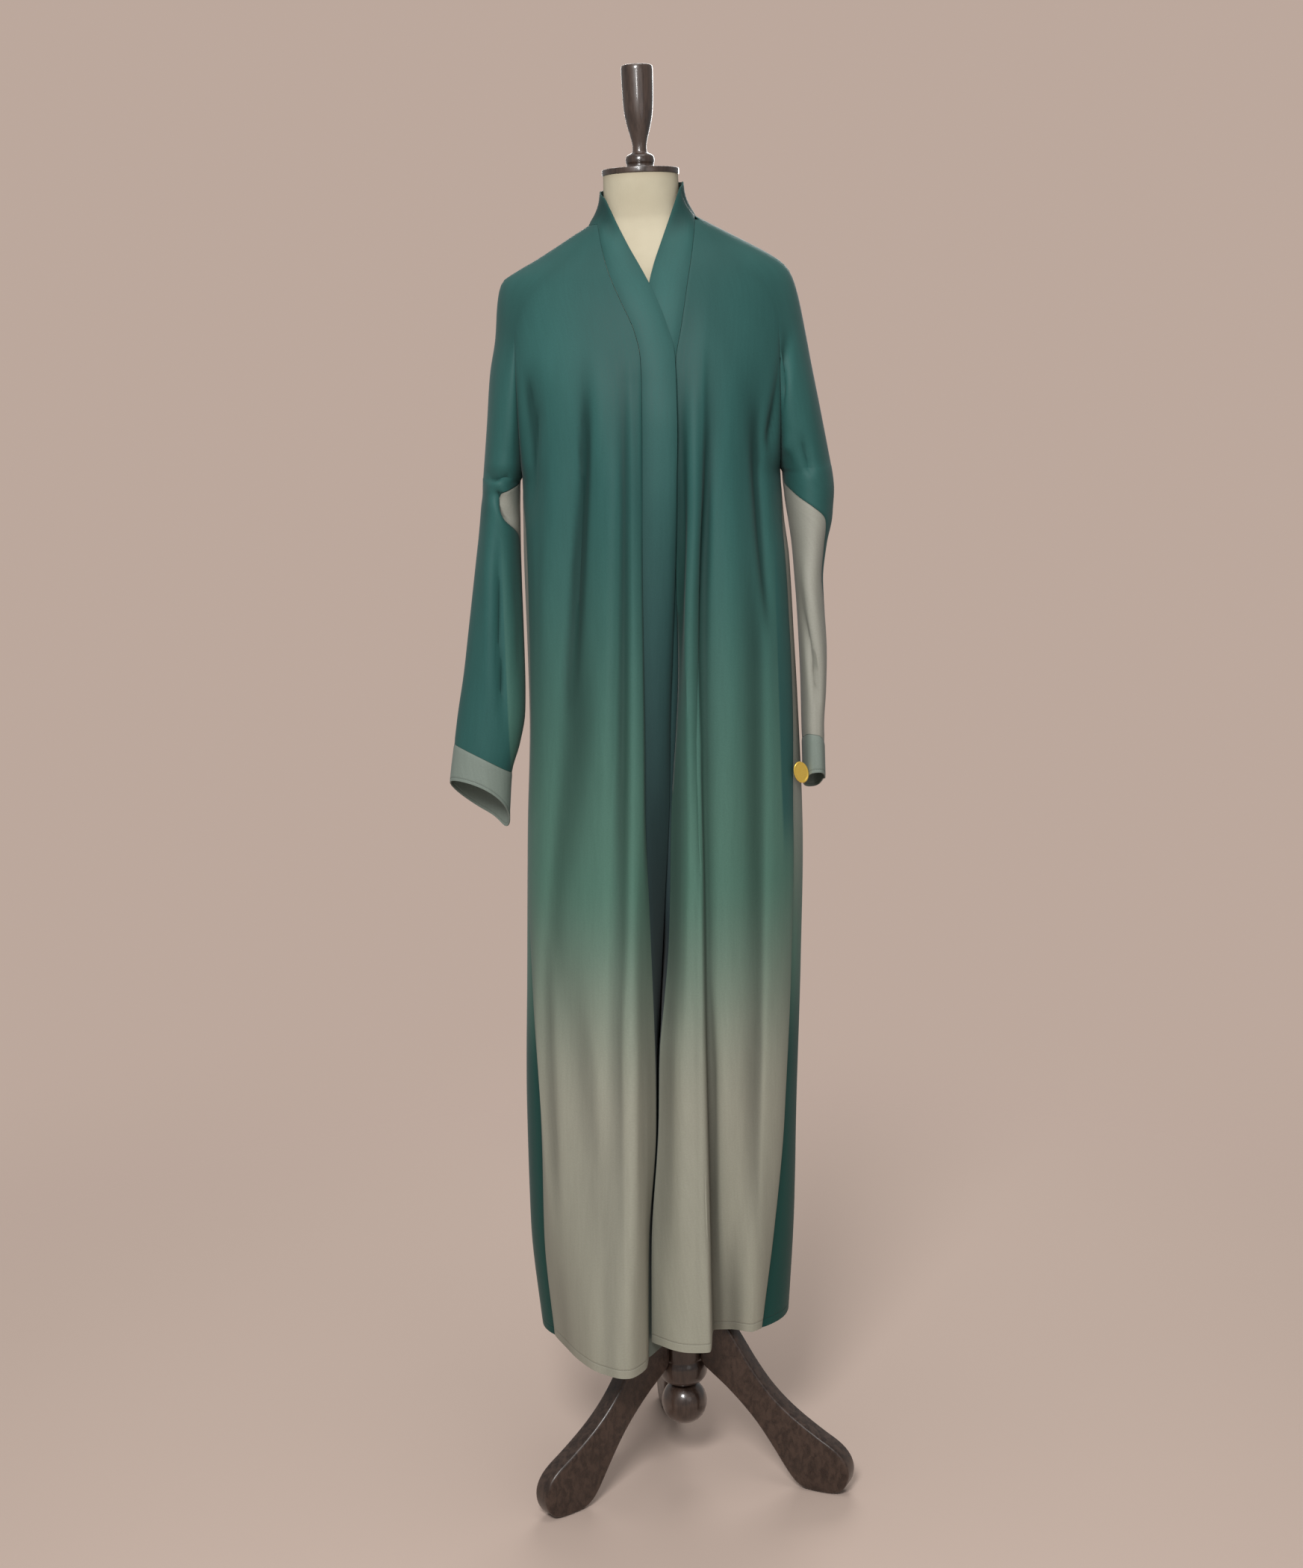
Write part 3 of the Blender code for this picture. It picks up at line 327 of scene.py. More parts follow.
def clothMaterial(name, upper, belt, lower, startAt, endAt, inset=0.011, sleeve=0.0):
    material, tree, shader = startMaterial(name)
    cloth = addNode(tree, "UVMap", uv_map="cloth")
    edge = addNode(tree, "UVMap", uv_map="edge")
    weave = place(tree, clothWeave, Cloth=cloth.outputs[0], Pitch=satin["threadPitch"])
    # the colour coming out of the dye run carries painted shade in fold hollows and painted highlight
    # on fold crests, taken from the swell measure
    swell = addNode(tree, "Attribute", attribute_name="swell")
    dye = place(tree, dyeRunAndFoldShade, Upper=upper, Belt=belt, Lower=lower, Start=startAt, End=endAt,
                Shade=weave.outputs["Shade"], Swell=swell.outputs["Fac"], Sleeve=sleeve)
    stitch = place(tree, stitchLine, Edge=edge.outputs[0], Inset=inset)
    thread = maths(tree, "MULTIPLY", stitch.outputs["Mask"], satin["stitchShade"])
    colour = mixColour(tree, thread, dye.outputs["Colour"], tuple(c * 0.55 for c in lower))
    tree.links.new(colour, shader.inputs["Base Color"])
    gloss = spread(tree, weave.outputs["Shade"], 0.3, 0.7, satin["roughness"] - 0.05,
                   satin["roughness"] + 0.06, kind="LINEAR")
    tree.links.new(gloss, shader.inputs["Roughness"])
    shader.inputs["Sheen Weight"].default_value = satin["sheen"]
    shader.inputs["Sheen Roughness"].default_value = satin["sheenRoughness"]
    shader.inputs["Specular IOR Level"].default_value = satin["specular"]
    first = bumpInto(tree, shader, weave.outputs["Height"], satin["threadDepth"], 0.6)
    bumpInto(tree, shader, stitch.outputs["Height"], 0.0004, 0.8, before=first)
    return material


# the robe's dyes, and one slate colour that is painted shade on the bands
dyesAndShade = {
    "teal": (0.0225, 0.079, 0.072), "tealDeep": (0.006, 0.050, 0.042),
    "moss": (0.067, 0.142, 0.108), "sage": (0.276, 0.272, 0.219),
    "greySage": (0.215, 0.255, 0.220), "silver": (0.256, 0.250, 0.213),
    "slateShade": (0.036, 0.050, 0.056), "cuffGrey": (0.166, 0.196, 0.170)}

frontSatin = clothMaterial("frontSatin", dyesAndShade["teal"], dyesAndShade["moss"], dyesAndShade["sage"], 1.32, 0.50,
                           sleeve=0.42)
# the band's belt colour is a dark slate: painted shade where the band turns inward, away from the
# light
bandSatin = clothMaterial("bandSatin", dyesAndShade["teal"], dyesAndShade["slateShade"], dyesAndShade["greySage"], 1.50,
                          0.10, inset=-1.0)
backSatin = clothMaterial("backSatin", dyesAndShade["silver"], dyesAndShade["moss"], dyesAndShade["tealDeep"], 0.98, 0.56)
cuffSatin = clothMaterial("cuffSatin", dyesAndShade["cuffGrey"], dyesAndShade["cuffGrey"], dyesAndShade["cuffGrey"],
                          2.0, 1.9, inset=0.004)
print("cloth materials made")


def woodMaterial(name, scale, gloss, turned=True):
    material, tree, shader = startMaterial(name)
    spot = addNode(tree, "TexCoord")
    stretch = addNode(tree, "Mapping")
    stretch.inputs["Scale"].default_value = scale
    tree.links.new(spot.outputs["Object"], stretch.inputs["Vector"])
    grain = place(tree, woodGrain, Place=stretch.outputs[0])
    tree.links.new(grain.outputs["Colour"], shader.inputs["Base Color"])
    tree.links.new(grain.outputs["Roughness"], shader.inputs["Roughness"])
    shader.inputs["Coat Weight"].default_value = gloss
    shader.inputs["Coat Roughness"].default_value = 0.12
    bumpInto(tree, shader, grain.outputs["Height"], 0.0004, 0.35)
    return material


turnedWood = woodMaterial("turnedWood", (60.0, 60.0, 9.0), 0.7)
sawnWood = woodMaterial("sawnWood", (150.0, 150.0, 90.0), 0.10)


def linenMaterial():
    material, tree, shader = startMaterial("linenCover")
    spot = addNode(tree, "TexCoord")
    weave = place(tree, clothWeave, Cloth=spot.outputs["Object"], Pitch=0.0011)
    soil = addNode(tree, "TexNoise")
    soil.inputs["Scale"].default_value = 9.0
    soil.inputs["Detail"].default_value = 4.0
    tree.links.new(spot.outputs["Object"], soil.inputs["Vector"])
    fade = spread(tree, soil.outputs[0], 0.35, 0.65)
    colour = mixColour(tree, fade, (0.43, 0.375, 0.270), (0.49, 0.435, 0.320))
    parts = addNode(tree, "SeparateXYZ")
    tree.links.new(spot.outputs["Object"], parts.inputs[0])
    # painted shade: the cover is darkened towards its top, just under the neck cap
    low = spread(tree, parts.outputs[2], 1.648, 1.657)
    colour = mixColour(tree, maths(tree, "MULTIPLY", low, 0.35), colour, (0.42, 0.34, 0.24))
    tree.links.new(colour, shader.inputs["Base Color"])
    rough = spread(tree, weave.outputs["Shade"], 0.3, 0.7, 0.82, 0.95)
    tree.links.new(rough, shader.inputs["Roughness"])
    shader.inputs["Specular IOR Level"].default_value = 0.2
    pucker = addNode(tree, "TexNoise")
    pucker.inputs["Scale"].default_value = 26.0
    pucker.inputs["Detail"].default_value = 2.0
    tree.links.new(spot.outputs["Object"], pucker.inputs["Vector"])
    first = bumpInto(tree, shader, pucker.outputs[0], 0.0022, 0.5)
    bumpInto(tree, shader, weave.outputs["Height"], 0.00012, 0.6, before=first)
    return material


def brassMaterial():
    material, tree, shader = startMaterial("plateBrass")
    spot = addNode(tree, "TexCoord")
    brush = addNode(tree, "TexNoise")
    brush.inputs["Scale"].default_value = 900.0
    brush.inputs["Detail"].default_value = 2.0
    tree.links.new(spot.outputs["Object"], brush.inputs["Vector"])
    colour = mixColour(tree, brush.outputs[0], (0.92, 0.56, 0.080), (0.98, 0.70, 0.16))
    tree.links.new(colour, shader.inputs["Base Color"])
    tree.links.new(spread(tree, brush.outputs[0], 0.3, 0.7, 0.28, 0.42), shader.inputs["Roughness"])
    shader.inputs["Metallic"].default_value = 0.75
    bumpInto(tree, shader, brush.outputs[0], 0.00008, 0.5)
    return material


linenCover = linenMaterial()
plateBrass = brassMaterial()


# ---------- the robe's cut ----------

cut = {"cloth": 0.0013, "band": 0.0019, "underarm": 1.305, "neckRise": 0.010, "foldTop": 1.470,
       "shoulder": {"right": 1.600, "left": 1.607}}
hem = {"right": (0.190, 0.206), "left": (0.213, 0.213), "backRise": 0.005}
underarm = cut["underarm"]

bodySizes = table(
    "z      right  left   front  back   power turnRight turnLeft",
    (1.300, 0.157, 0.157, 0.134, 0.098, 2.30,  0,  0),
    (1.240, 0.1585, 0.1605, 0.132, 0.097, 2.35, 14, 14),
    (1.200, 0.1595, 0.165, 0.131, 0.097, 2.38, 16, 18),
    (1.100, 0.160, 0.1685, 0.129, 0.099, 2.40, 13, 18),
    (1.020, 0.161, 0.171, 0.129, 0.101, 2.40, 10, 20),
    (0.870, 0.170, 0.1735, 0.129, 0.105, 2.40,  6, 26),
    (0.690, 0.179, 0.167, 0.133, 0.108, 2.30, 18, 26),
    (0.500, 0.188, 0.157, 0.140, 0.111, 2.10, 29, 27),
    (0.350, 0.190, 0.1505, 0.149, 0.114, 1.95, 27, 33),
    (0.200, 0.1805, 0.139, 0.158, 0.116, 1.80, 25, 39))

yokeSizes = table(
    "z      right   left    front  back   armRight armLeft",
    (1.660, 0.0480, 0.0495, 0.0465, 0.052, 0.0480, 0.0495),
    (1.640, 0.0492, 0.0505, 0.0465, 0.054, 0.0492, 0.0505),
    (1.620, 0.0545, 0.0560, 0.0475, 0.059, 0.0545, 0.0560),
    (1.607, 0.0600, 0.0645, 0.0490, 0.064, 0.0585, 0.0625),
    (1.600, 0.0645, 0.0765, 0.0500, 0.066, 0.0620, 0.0700),
    (1.590, 0.0810, 0.0950, 0.0560, 0.069, 0.0680, 0.0780),
    (1.575, 0.1060, 0.1230, 0.0635, 0.073, 0.0760, 0.0860),
    (1.560, 0.1320, 0.1500, 0.0730, 0.078, 0.0900, 0.0990),
    (1.548, 0.1550, 0.1670, 0.0810, 0.083, 0.1040, 0.1120),
    (1.537, 0.1710, 0.1755, 0.0880, 0.088, 0.1180, 0.1240),
    (1.515, 0.1775, 0.1830, 0.0990, 0.094, 0.1400, 0.1430),
    (1.470, 0.1825, 0.1915, 0.1130, 0.100, 0.1560, 0.1560),
    (1.430, 0.1905, 0.1980, 0.1220, 0.102, 0.1570, 0.1570),
    (1.367, 0.1975, 0.2090, 0.1300, 0.102, 0.1570, 0.1570),
    (1.300, 0.2055, 0.2205, 0.1340, 0.098, 0.1570, 0.1570))

closing = table(
    "z     rightX rightY rightEdgeX rightEdgeY leftX  leftY  leftEdgeX leftEdgeY",
    (1.420, -0.0080, -0.1250, 0.0320, -0.1250, 0.0315, -0.1190, -0.0100, -0.1160),
    (1.360, -0.0095, -0.1325, 0.0315, -0.1335, 0.0275, -0.1255, -0.0145, -0.1230),
    (1.300, -0.0115, -0.1330, 0.0290, -0.1320, 0.0240, -0.1240, -0.0180, -0.1220),
    (1.200, -0.0150, -0.1280, 0.0255, -0.1170, 0.0235, -0.1100, -0.0180, -0.1040),
    (1.100, -0.0175, -0.1225, 0.0190, -0.1030, 0.0215, -0.0975, -0.0205, -0.0905),
    (1.000, -0.0195, -0.1180, 0.0125, -0.0910, 0.0165, -0.0860, -0.0256, -0.0800),
    (0.880, -0.0228, -0.1135, 0.0050, -0.0810, 0.0085, -0.0770, -0.0338, -0.0730),
    (0.790, -0.0218, -0.1100, -0.0025, -0.0735, 0.0045, -0.0712, -0.0255, -0.0412),
    (0.720, -0.0215, -0.1080, -0.0080, -0.0680, 0.0000, -0.0720, -0.0074, -0.0302),
    (0.650, -0.0213, -0.1055, -0.0135, -0.0640, -0.0085, -0.0850, -0.0100, -0.0425),
    (0.600, -0.0215, -0.1040, -0.0180, -0.0620, -0.0150, -0.0960, -0.0130, -0.0540),
    (0.500, -0.0240, -0.1000, -0.0235, -0.0580, -0.0200, -0.0970, -0.0190, -0.0550),
    (0.350, -0.0380, -0.0920, -0.0320, -0.0500, -0.0335, -0.0930, -0.0275, -0.0510),
    (0.200, -0.0440, -0.0830, -0.0250, -0.0455, -0.0395, -0.0880, -0.0205, -0.0505))

neckline = table(
    "z     rightX  rightEdgeX rightEdgeZ leftX leftIn leftEdgeX leftEdgeZ leftEdgeIn",
    (1.600, -0.0535, -0.0440, 1.630, 0.0625, 0.0000, 0.0465, 1.6400, 0.0000),
    (1.575, -0.0500, -0.0315, 1.602, 0.0590, 0.0000, 0.0345, 1.6100, 0.0005),
    (1.549, -0.0446, -0.0180, 1.572, 0.0545, 0.0000, 0.0200, 1.5720, 0.0030),
    (1.529, -0.0380, -0.0030, 1.543, 0.0505, 0.0002, 0.0110, 1.5480, 0.0045),
    (1.507, -0.0290, 0.0085, 1.519, 0.0465, 0.0010, 0.0045, 1.5240, 0.0052),
    (1.470, -0.0139, 0.0235, 1.479, 0.0395, 0.0035, -0.0020, 1.4740, 0.0058),
    (1.442, -0.0085, 0.0315, 1.444, 0.0335, 0.0055, -0.0085, 1.4430, 0.0062),
    (1.420, -0.0080, 0.0320, 1.420, 0.0315, 0.0060, -0.0100, 1.4200, 0.0062))

foldHeights = np.array([0.20, 0.60, 1.00, 1.30])
frontFolds = {
    # place at each height, how far the fold stands out there
    "right": (
        ((-0.1490, -0.1680, -0.1450, -0.1380), (-0.014, -0.002, 0.000, 0.000)),
        ((-0.1330, -0.1430, -0.1080, -0.0840), (0.001, -0.008, -0.009, -0.006)),
        ((-0.1060, -0.0900, -0.0710, -0.0590), (0.016, 0.004, 0.003, 0.002)),
        ((-0.0850, -0.0660, -0.0460, -0.0350), (0.015, 0.004, -0.001, -0.002)),
        ((-0.0680, -0.0510, -0.0330, -0.0230), (0.006, 0.009, 0.007, 0.003)),
        ((-0.0465, -0.0365, -0.0215, -0.0150), (-0.038, -0.010, -0.001, 0.002))),
    "left": (
        ((0.1010, 0.1200, 0.1370, 0.1400), (-0.038, -0.005, 0.000, 0.000)),
        ((0.0900, 0.1030, 0.1140, 0.1200), (-0.040, -0.012, -0.006, -0.003)),
        ((0.0640, 0.0710, 0.0850, 0.0920), (-0.073, -0.012, 0.003, 0.002)),
        ((0.0405, 0.0440, 0.0550, 0.0660), (-0.087, -0.026, -0.006, -0.003)),
        ((0.0330, 0.0370, 0.0460, 0.0570), (-0.020, -0.004, 0.003, 0.002)),
        ((0.0050, 0.0180, 0.0360, 0.0460), (-0.030, -0.010, 0.001, 0.001)))}
sideIn = {"right": (0.024, 0.004, 0.0, 0.0), "left": (0.039, 0.004, 0.0, 0.0)}

# place from the left side seam (0) to the right one (1), how far out at the hem, width
backFolds = ((0.16, 0.007, 0.05), (0.28, -0.008, 0.05), (0.40, 0.009, 0.06), (0.52, -0.010, 0.06),
             (0.64, 0.008, 0.05), (0.75, -0.007, 0.05), (0.86, 0.007, 0.05))

sleeveSizes = {
    "right": table(
        "z      inner   outer   middle  depth  under over",
        (1.305, 0.1570, 0.2055, 0.000, 0.058, 180, 0),
        (1.299, 0.1608, 0.2057, -0.001, 0.057, 176, 0),
        (1.295, 0.1612, 0.2060, -0.001, 0.057, 152, 0),
        (1.291, 0.1615, 0.2062, -0.001, 0.057, 126, 0),
        (1.286, 0.1617, 0.2065, -0.001, 0.056, 100, 0),
        (1.270, 0.1625, 0.2090, -0.003, 0.053, 98, -2),
        (1.250, 0.1630, 0.2115, -0.005, 0.050, 125, -5),
        (1.232, 0.1635, 0.2140, -0.006, 0.048, 165, -8),
        (1.210, 0.1640, 0.2175, -0.007, 0.046, 182, -12),
        (1.120, 0.1645, 0.2315, -0.012, 0.042, 186, -15),
        (1.066, 0.1650, 0.2400, -0.015, 0.040, 186, -15),
        (1.017, 0.1670, 0.2495, -0.018, 0.038, 186, -15),
        (0.975, 0.1760, 0.2565, -0.020, 0.036, 186, -15),
        (0.945, 0.1860, 0.2615, -0.021, 0.035, 186, -15),
        (0.890, 0.1920, 0.2690, -0.022, 0.035, 186, -15)),
    "left": table(
        "z      inner   outer   middle  depth  under over",
        (1.305, 0.1570, 0.2200, 0.000, 0.058, 180, -16),
        (1.299, 0.1608, 0.2207, -0.001, 0.057, 177, -20),
        (1.288, 0.1614, 0.2220, -0.001, 0.057, 172, -30),
        (1.278, 0.1622, 0.2225, -0.002, 0.056, 143, -42),
        (1.268, 0.1630, 0.2220, -0.003, 0.055, 117, -54),
        (1.259, 0.1640, 0.2210, -0.004, 0.054, 92, -66),
        (1.241, 0.1665, 0.2190, -0.006, 0.052, 54, -90),
        (1.210, 0.1700, 0.2115, -0.008, 0.050, 42, -118),
        (1.165, 0.1725, 0.2055, -0.012, 0.049, 36, -140),
        (1.145, 0.1735, 0.2058, -0.013, 0.049, 24, -150),
        (1.090, 0.1755, 0.2072, -0.016, 0.048, 2, -160),
        (1.037, 0.1766, 0.2050, -0.019, 0.047, -8, -168),
        (0.985, 0.1764, 0.2010, -0.022, 0.046, -10, -170),
        (0.900, 0.1764, 0.2010, -0.024, 0.046, -10, -170))}
sleevePower = {"right": 2.0, "left": 3.0}
cuffs = {
    "right": {"seam": 0.9605, "seamOuter": 0.0190, "seamFront": 0.004,
              "hem": 0.9080, "hemOuter": 0.0230, "hemFront": 0.016,
              "frontLift": 0.012, "tail": 0.010},
    "left": {"seam": 0.9680, "seamOuter": -0.0050, "seamFront": 0.0135,
             "hem": 0.9185, "hemOuter": 0.0010, "hemFront": 0.0165,
             "frontLift": 0.0, "tail": 0.0}}

fineness = {"bodyRows": 84, "yokeRows": 40, "frontColumns": 56, "backColumns": 72,
            "sleeveColumns": 26, "bandColumns": 8}


def halves(z):
    right, left = at(bodySizes, "right", z), at(bodySizes, "left", z)
    return (left - right) / 2, (left + right) / 2


def bodyOutline(angle, z):
    middle, half = halves(z)
    power = 2 / at(bodySizes, "power", z)
    c, s = math.cos(math.radians(angle)), math.sin(math.radians(angle))
    depth = at(bodySizes, "front" if s >= 0 else "back", z)
    return (middle - half * math.copysign(abs(c) ** power, c),
            -depth * math.copysign(abs(s) ** power, s))


def bodyAngle(x, z):
    middle, half = halves(z)
    share = min(max((middle - x) / half, -1.0), 1.0)
    c = math.copysign(abs(share) ** (at(bodySizes, "power", z) / 2), share)
    return math.degrees(math.acos(c))


def bodyDepth(x, z, face):
    z = min(z, underarm)
    middle, half = halves(z)
    share = min(abs(x - middle) / half, 1.0)
    power = at(bodySizes, "power", z)
    return at(bodySizes, face, z) * (1 - share ** power) ** (1 / power)


def yokeDepth(x, z, face):
    reach = at(yokeSizes, "right" if x < 0 else "left", z)
    share = min(abs(x) / reach, 1.0)
    power = 2.0 + 0.3 * ease((1.54 - z) / 0.2)
    return at(yokeSizes, face, z) * (1 - share ** power) ** (1 / power)


def arch(x, z):
    rise = min(max((z - underarm) / 0.17, 0.0), 1.0)
    close = math.exp(-((abs(x) - 0.157) / 0.028) ** 2)
    return 1 - close * rise ** 0.6 - (1 - close) * ease(rise)


def wallDepth(x, z, face):
    near = arch(x, z)
    return (1 - near) * yokeDepth(x, z, face) + near * bodyDepth(x, z, face)


def armPoint(side, z, face):
    x = sideSign[side] * at(yokeSizes, "armRight" if side == "right" else "armLeft", z)
    y = -wallDepth(x, z, "front") if face == "front" else wallDepth(x, z, "back")
    return (x, 0.0 if z <= underarm else y, z)


def seamPoint(side, z):
    if z > closing["z"][-1]:
        x = at(neckline, side + "X", z)
        inside = at(neckline, "leftIn", z) if side == "left" else 0.0
        return x, inside - wallDepth(x, z, "front")
    return at(closing, side + "X", z), at(closing, side + "Y", z)


def sidePoint(side, z):
    turn = at(bodySizes, "turnRight" if side == "right" else "turnLeft", z)
    x, y = bodyOutline(turn if side == "right" else 180 - turn, z)
    return x, y + curve(foldHeights, sideIn[side], z)


def frontRow(side, z, shares):
    # one level row of a front, from its side seam (0) to its band (7)
    folds = frontFolds[side]
    low = min(z, underarm)
    seamX, seamY = seamPoint(side, low)
    sideX, sideY = sidePoint(side, low)
    places = [sideX] + [curve(foldHeights, fold[0], low) for fold in folds] + [seamX]
    angles = [bodyAngle(x, low) for x in places]
    outline = [bodyOutline(angle, low)[1] for angle in angles]
    out = [outline[0] - sideY] + [curve(foldHeights, fold[1], low) for fold in folds]
    out.append(outline[-1] - seamY)
    numbers = np.arange(len(places))
    if z > underarm:
        topX, topY = seamPoint(side, z)
        armX = armPoint(side, z, "front")[0]
        level = topY + wallDepth(topX, z, "front")
        fade = ease((cut["foldTop"] - z) / (cut["foldTop"] - underarm))
    points = []
    for share in shares:
        x, y = bodyOutline(curve(numbers, angles, share), low)
        stand = curve(numbers, out, share)
        if z <= underarm:
            points.append((x, y - stand, z))
            continue
        along = (x - sideX) / (seamX - sideX)
        across = armX + along * (topX - armX)
        settle = level * (1 - fade) * ease((along - 0.72) / 0.28)
        y = -wallDepth(across, z, "front") - stand * fade + settle
        points.append((across, y, z))
    return points


def backRow(z, shares):
    points = []
    low = min(z, underarm)
    start, end = -at(bodySizes, "turnLeft", low), 180 + at(bodySizes, "turnRight", low)
    drop = 1 - ease((low - 0.20) / 1.05)
    for share in shares:
        angle = start + share * (end - start)
        x, y = bodyOutline(180 + angle, low)
        if angle < 0:
            y += curve(foldHeights, sideIn["left"], low) * angle / min(start, -1e-6)
        elif angle > 180:
            y += curve(foldHeights, sideIn["right"], low) * (angle - 180) / max(end - 180, 1e-6)
        within = ease(share / 0.1) * ease((1 - share) / 0.1)
        for spot, out, width in backFolds:
            y += out * drop * within * math.exp(-((share - spot) / width) ** 2)
        if z > underarm:
            side = "left" if share < 0.5 else "right"
            x *= armPoint(side, z, "back")[0] / armPoint(side, low, "back")[0]
            y = wallDepth(x, z, "back")
        points.append((x, y, z))
    return points


def sleevePoint(side, angle, z):
    # 0 is the outer side, 90 the front, 180 next to the body
    c, s = math.cos(math.radians(angle)), math.sin(math.radians(angle))
    sizes = sleeveSizes[side]
    if z >= underarm:
        arm = at(yokeSizes, "armRight" if side == "right" else "armLeft", z)
        reach = at(yokeSizes, side, z)
        x = sideSign[side] * ((arm + reach) / 2 + (reach - arm) / 2 * c)
        near = arch(x, z)
        tube = at(sizes, "depth", underarm)
        face, way = ("front", -1) if s >= 0 else ("back", 1)
        return (x, way * ((1 - near) * yokeDepth(x, z, face) + near * tube * abs(s)), z)
    inner, outer = at(sizes, "inner", z), at(sizes, "outer", z)
    power = 2 / (2 + (sleevePower[side] - 2) * ease((1.15 - z) / 0.1))
    across, deep = math.copysign(abs(c) ** power, c), math.copysign(abs(s) ** power, s)
    return (sideSign[side] * ((inner + outer) / 2 + (outer - inner) / 2 * across),
            at(sizes, "middle", z) - at(sizes, "depth", z) * deep, z)


def slant(side, line, angle):
    cuff = cuffs[side]
    a = math.radians(angle)
    level = cuff[line] + cuff[line + "Outer"] * math.cos(a) + cuff[line + "Front"] * math.sin(a)
    if line == "hem":
        level += cuff["frontLift"] * max(math.sin(a), 0) * (1 - math.cos(a)) / 2
        level -= cuff["tail"] * math.exp(-(((angle % 360) - 212) / 24) ** 2)
    return level


def yokeRows(side):
    top = cut["shoulder"][side]
    steps = np.linspace(0, 1, fineness["yokeRows"] + 1)
    return [top + (underarm - top) * (t * 0.75 + 0.25 * t * t) for t in steps]


def sleeveRows(side):
    last = cuffs[side]["seam"]
    return [*np.linspace(1.3035, 1.2835, 11), *np.linspace(1.281, 1.205, 26),
            *np.linspace(1.197, last, 30)]


def sleeveGrid(side, face):
    sizes = sleeveSizes[side]
    columns = fineness["sleeveColumns"]
    rows = []
    overStart = at(sizes, "over", underarm)
    end = 180 if face == "front" else -180
    for z in yokeRows(side):
        over = overStart * ease((1.42 - z) / (1.42 - underarm))
        row = [sleevePoint(side, over + (end - over) * j / columns, z) for j in range(columns)]
        rows.append(row + [armPoint(side, z, face)])
    last = cuffs[side]["seam"]
    for z in sleeveRows(side):
        over, under = at(sizes, "over", z), at(sizes, "under", z)
        end = under if face == "front" else under - 360
        tilt = ease((underarm - 0.06 - z) / (underarm - 0.06 - last))
        row = []
        for j in range(columns + 1):
            angle = over + (end - over) * j / columns
            level = z + tilt * (slant(side, "seam", angle) - last)
            row.append(sleevePoint(side, angle, level))
        rows.append(row)
    return rows


def bodyShares():
    return np.linspace(0, 7, fineness["frontColumns"] + 1)


def frontGrid(side):
    shares = bodyShares()
    rows = [frontRow(side, z, shares) for z in yokeRows(side)]
    count = fineness["bodyRows"]
    near, far = hem[side]
    for k in range(1, count + 1):
        # the hem rises a little from the band to the side seam, and the rows with it
        left = frontRow(side, underarm + k / count * (near - underarm), shares)
        right = frontRow(side, underarm + k / count * (far - underarm), shares)
        rows.append([tuple(a + (b - a) * (1 - share / 7) for a, b in zip(p, q))
                     for share, p, q in zip(shares, left, right)])
    return rows


def backGrid():
    columns = fineness["backColumns"]
    shares = [k / columns for k in range(columns + 1)]
    rows = []
    for zLeft, zRight in zip(yokeRows("left"), yokeRows("right")):
        rows.append([p for s in shares for p in backRow(zLeft + (zRight - zLeft) * s, [s])])
    count = fineness["bodyRows"]
    low, high = hem["left"][1], hem["right"][1]
    for k in range(1, count + 1):
        row = []
        for share in shares:
            edge = low + (high - low) * share + hem["backRise"] * 4 * share * (1 - share)
            row += backRow(underarm + k / count * (edge - underarm), [share])
        rows.append(row)
    return rows


def neckLift(y):
    return cut["neckRise"] * ease(y / at(yokeSizes, "back", cut["shoulder"]["right"]))


def liftNeck(row):
    return [(x, y, z + neckLift(y)) for x, y, z in row]


def collarEdge(side, turn):
    height = 1.640 if side == "right" else 1.648
    return (sideSign[side] * at(yokeSizes, side, 1.645) * math.cos(turn),
            0.0535 * math.sin(turn), height + (1.656 - height) * math.sin(turn) ** 2)


def edgePoint(side, z):
    if z > closing["z"][-1]:
        x, level = at(neckline, side + "EdgeX", z), at(neckline, side + "EdgeZ", z)
        inside = at(neckline, "leftEdgeIn", z) if side == "left" else 0.0006
        return (x, inside - wallDepth(x, level, "front"), level)
    return (at(closing, side + "EdgeX", z), at(closing, side + "EdgeY", z), z)


def bandStations(side):
    # pairs of seam point and free edge point, from the centre back down to the hem
    pairs = []
    top = cut["shoulder"][side]
    row = backRows[0]
    middle = fineness["backColumns"] // 2
    half = row[middle:] if side == "right" else row[:middle + 1][::-1]
    tail = sleeveGrid(side, "back")[0][::-1]
    for x, y, z in liftNeck(half + tail[1:]):
        turn = math.atan2(y / at(yokeSizes, "back", top), abs(x) / at(yokeSizes, side, top))
        pairs.append(((x, y, z), collarEdge(side, turn)))
    front = sleeveGrid(side, "front")[0][1:] + frontRow(side, top, bodyShares())[1:]
    start, end = collarEdge(side, 0.0), edgePoint(side, top)
    for x, y, z in front:
        share = y / front[-1][1]
        edge = [s + (e - s) * share for s, e in zip(start, end)]
        edge[0] += sideSign[side] * 0.0016 * math.sin(math.pi * share)
        pairs.append(((x, y, z), tuple(edge)))
    for z in yokeRows(side)[1:]:
        pairs.append((frontRow(side, z, [7])[0], edgePoint(side, z)))
    for k in range(1, fineness["bodyRows"] + 1):
        z = underarm + k / fineness["bodyRows"] * (hem[side][0] - underarm)
        pairs.append((frontRow(side, z, [7])[0], edgePoint(side, z)))
    return pairs
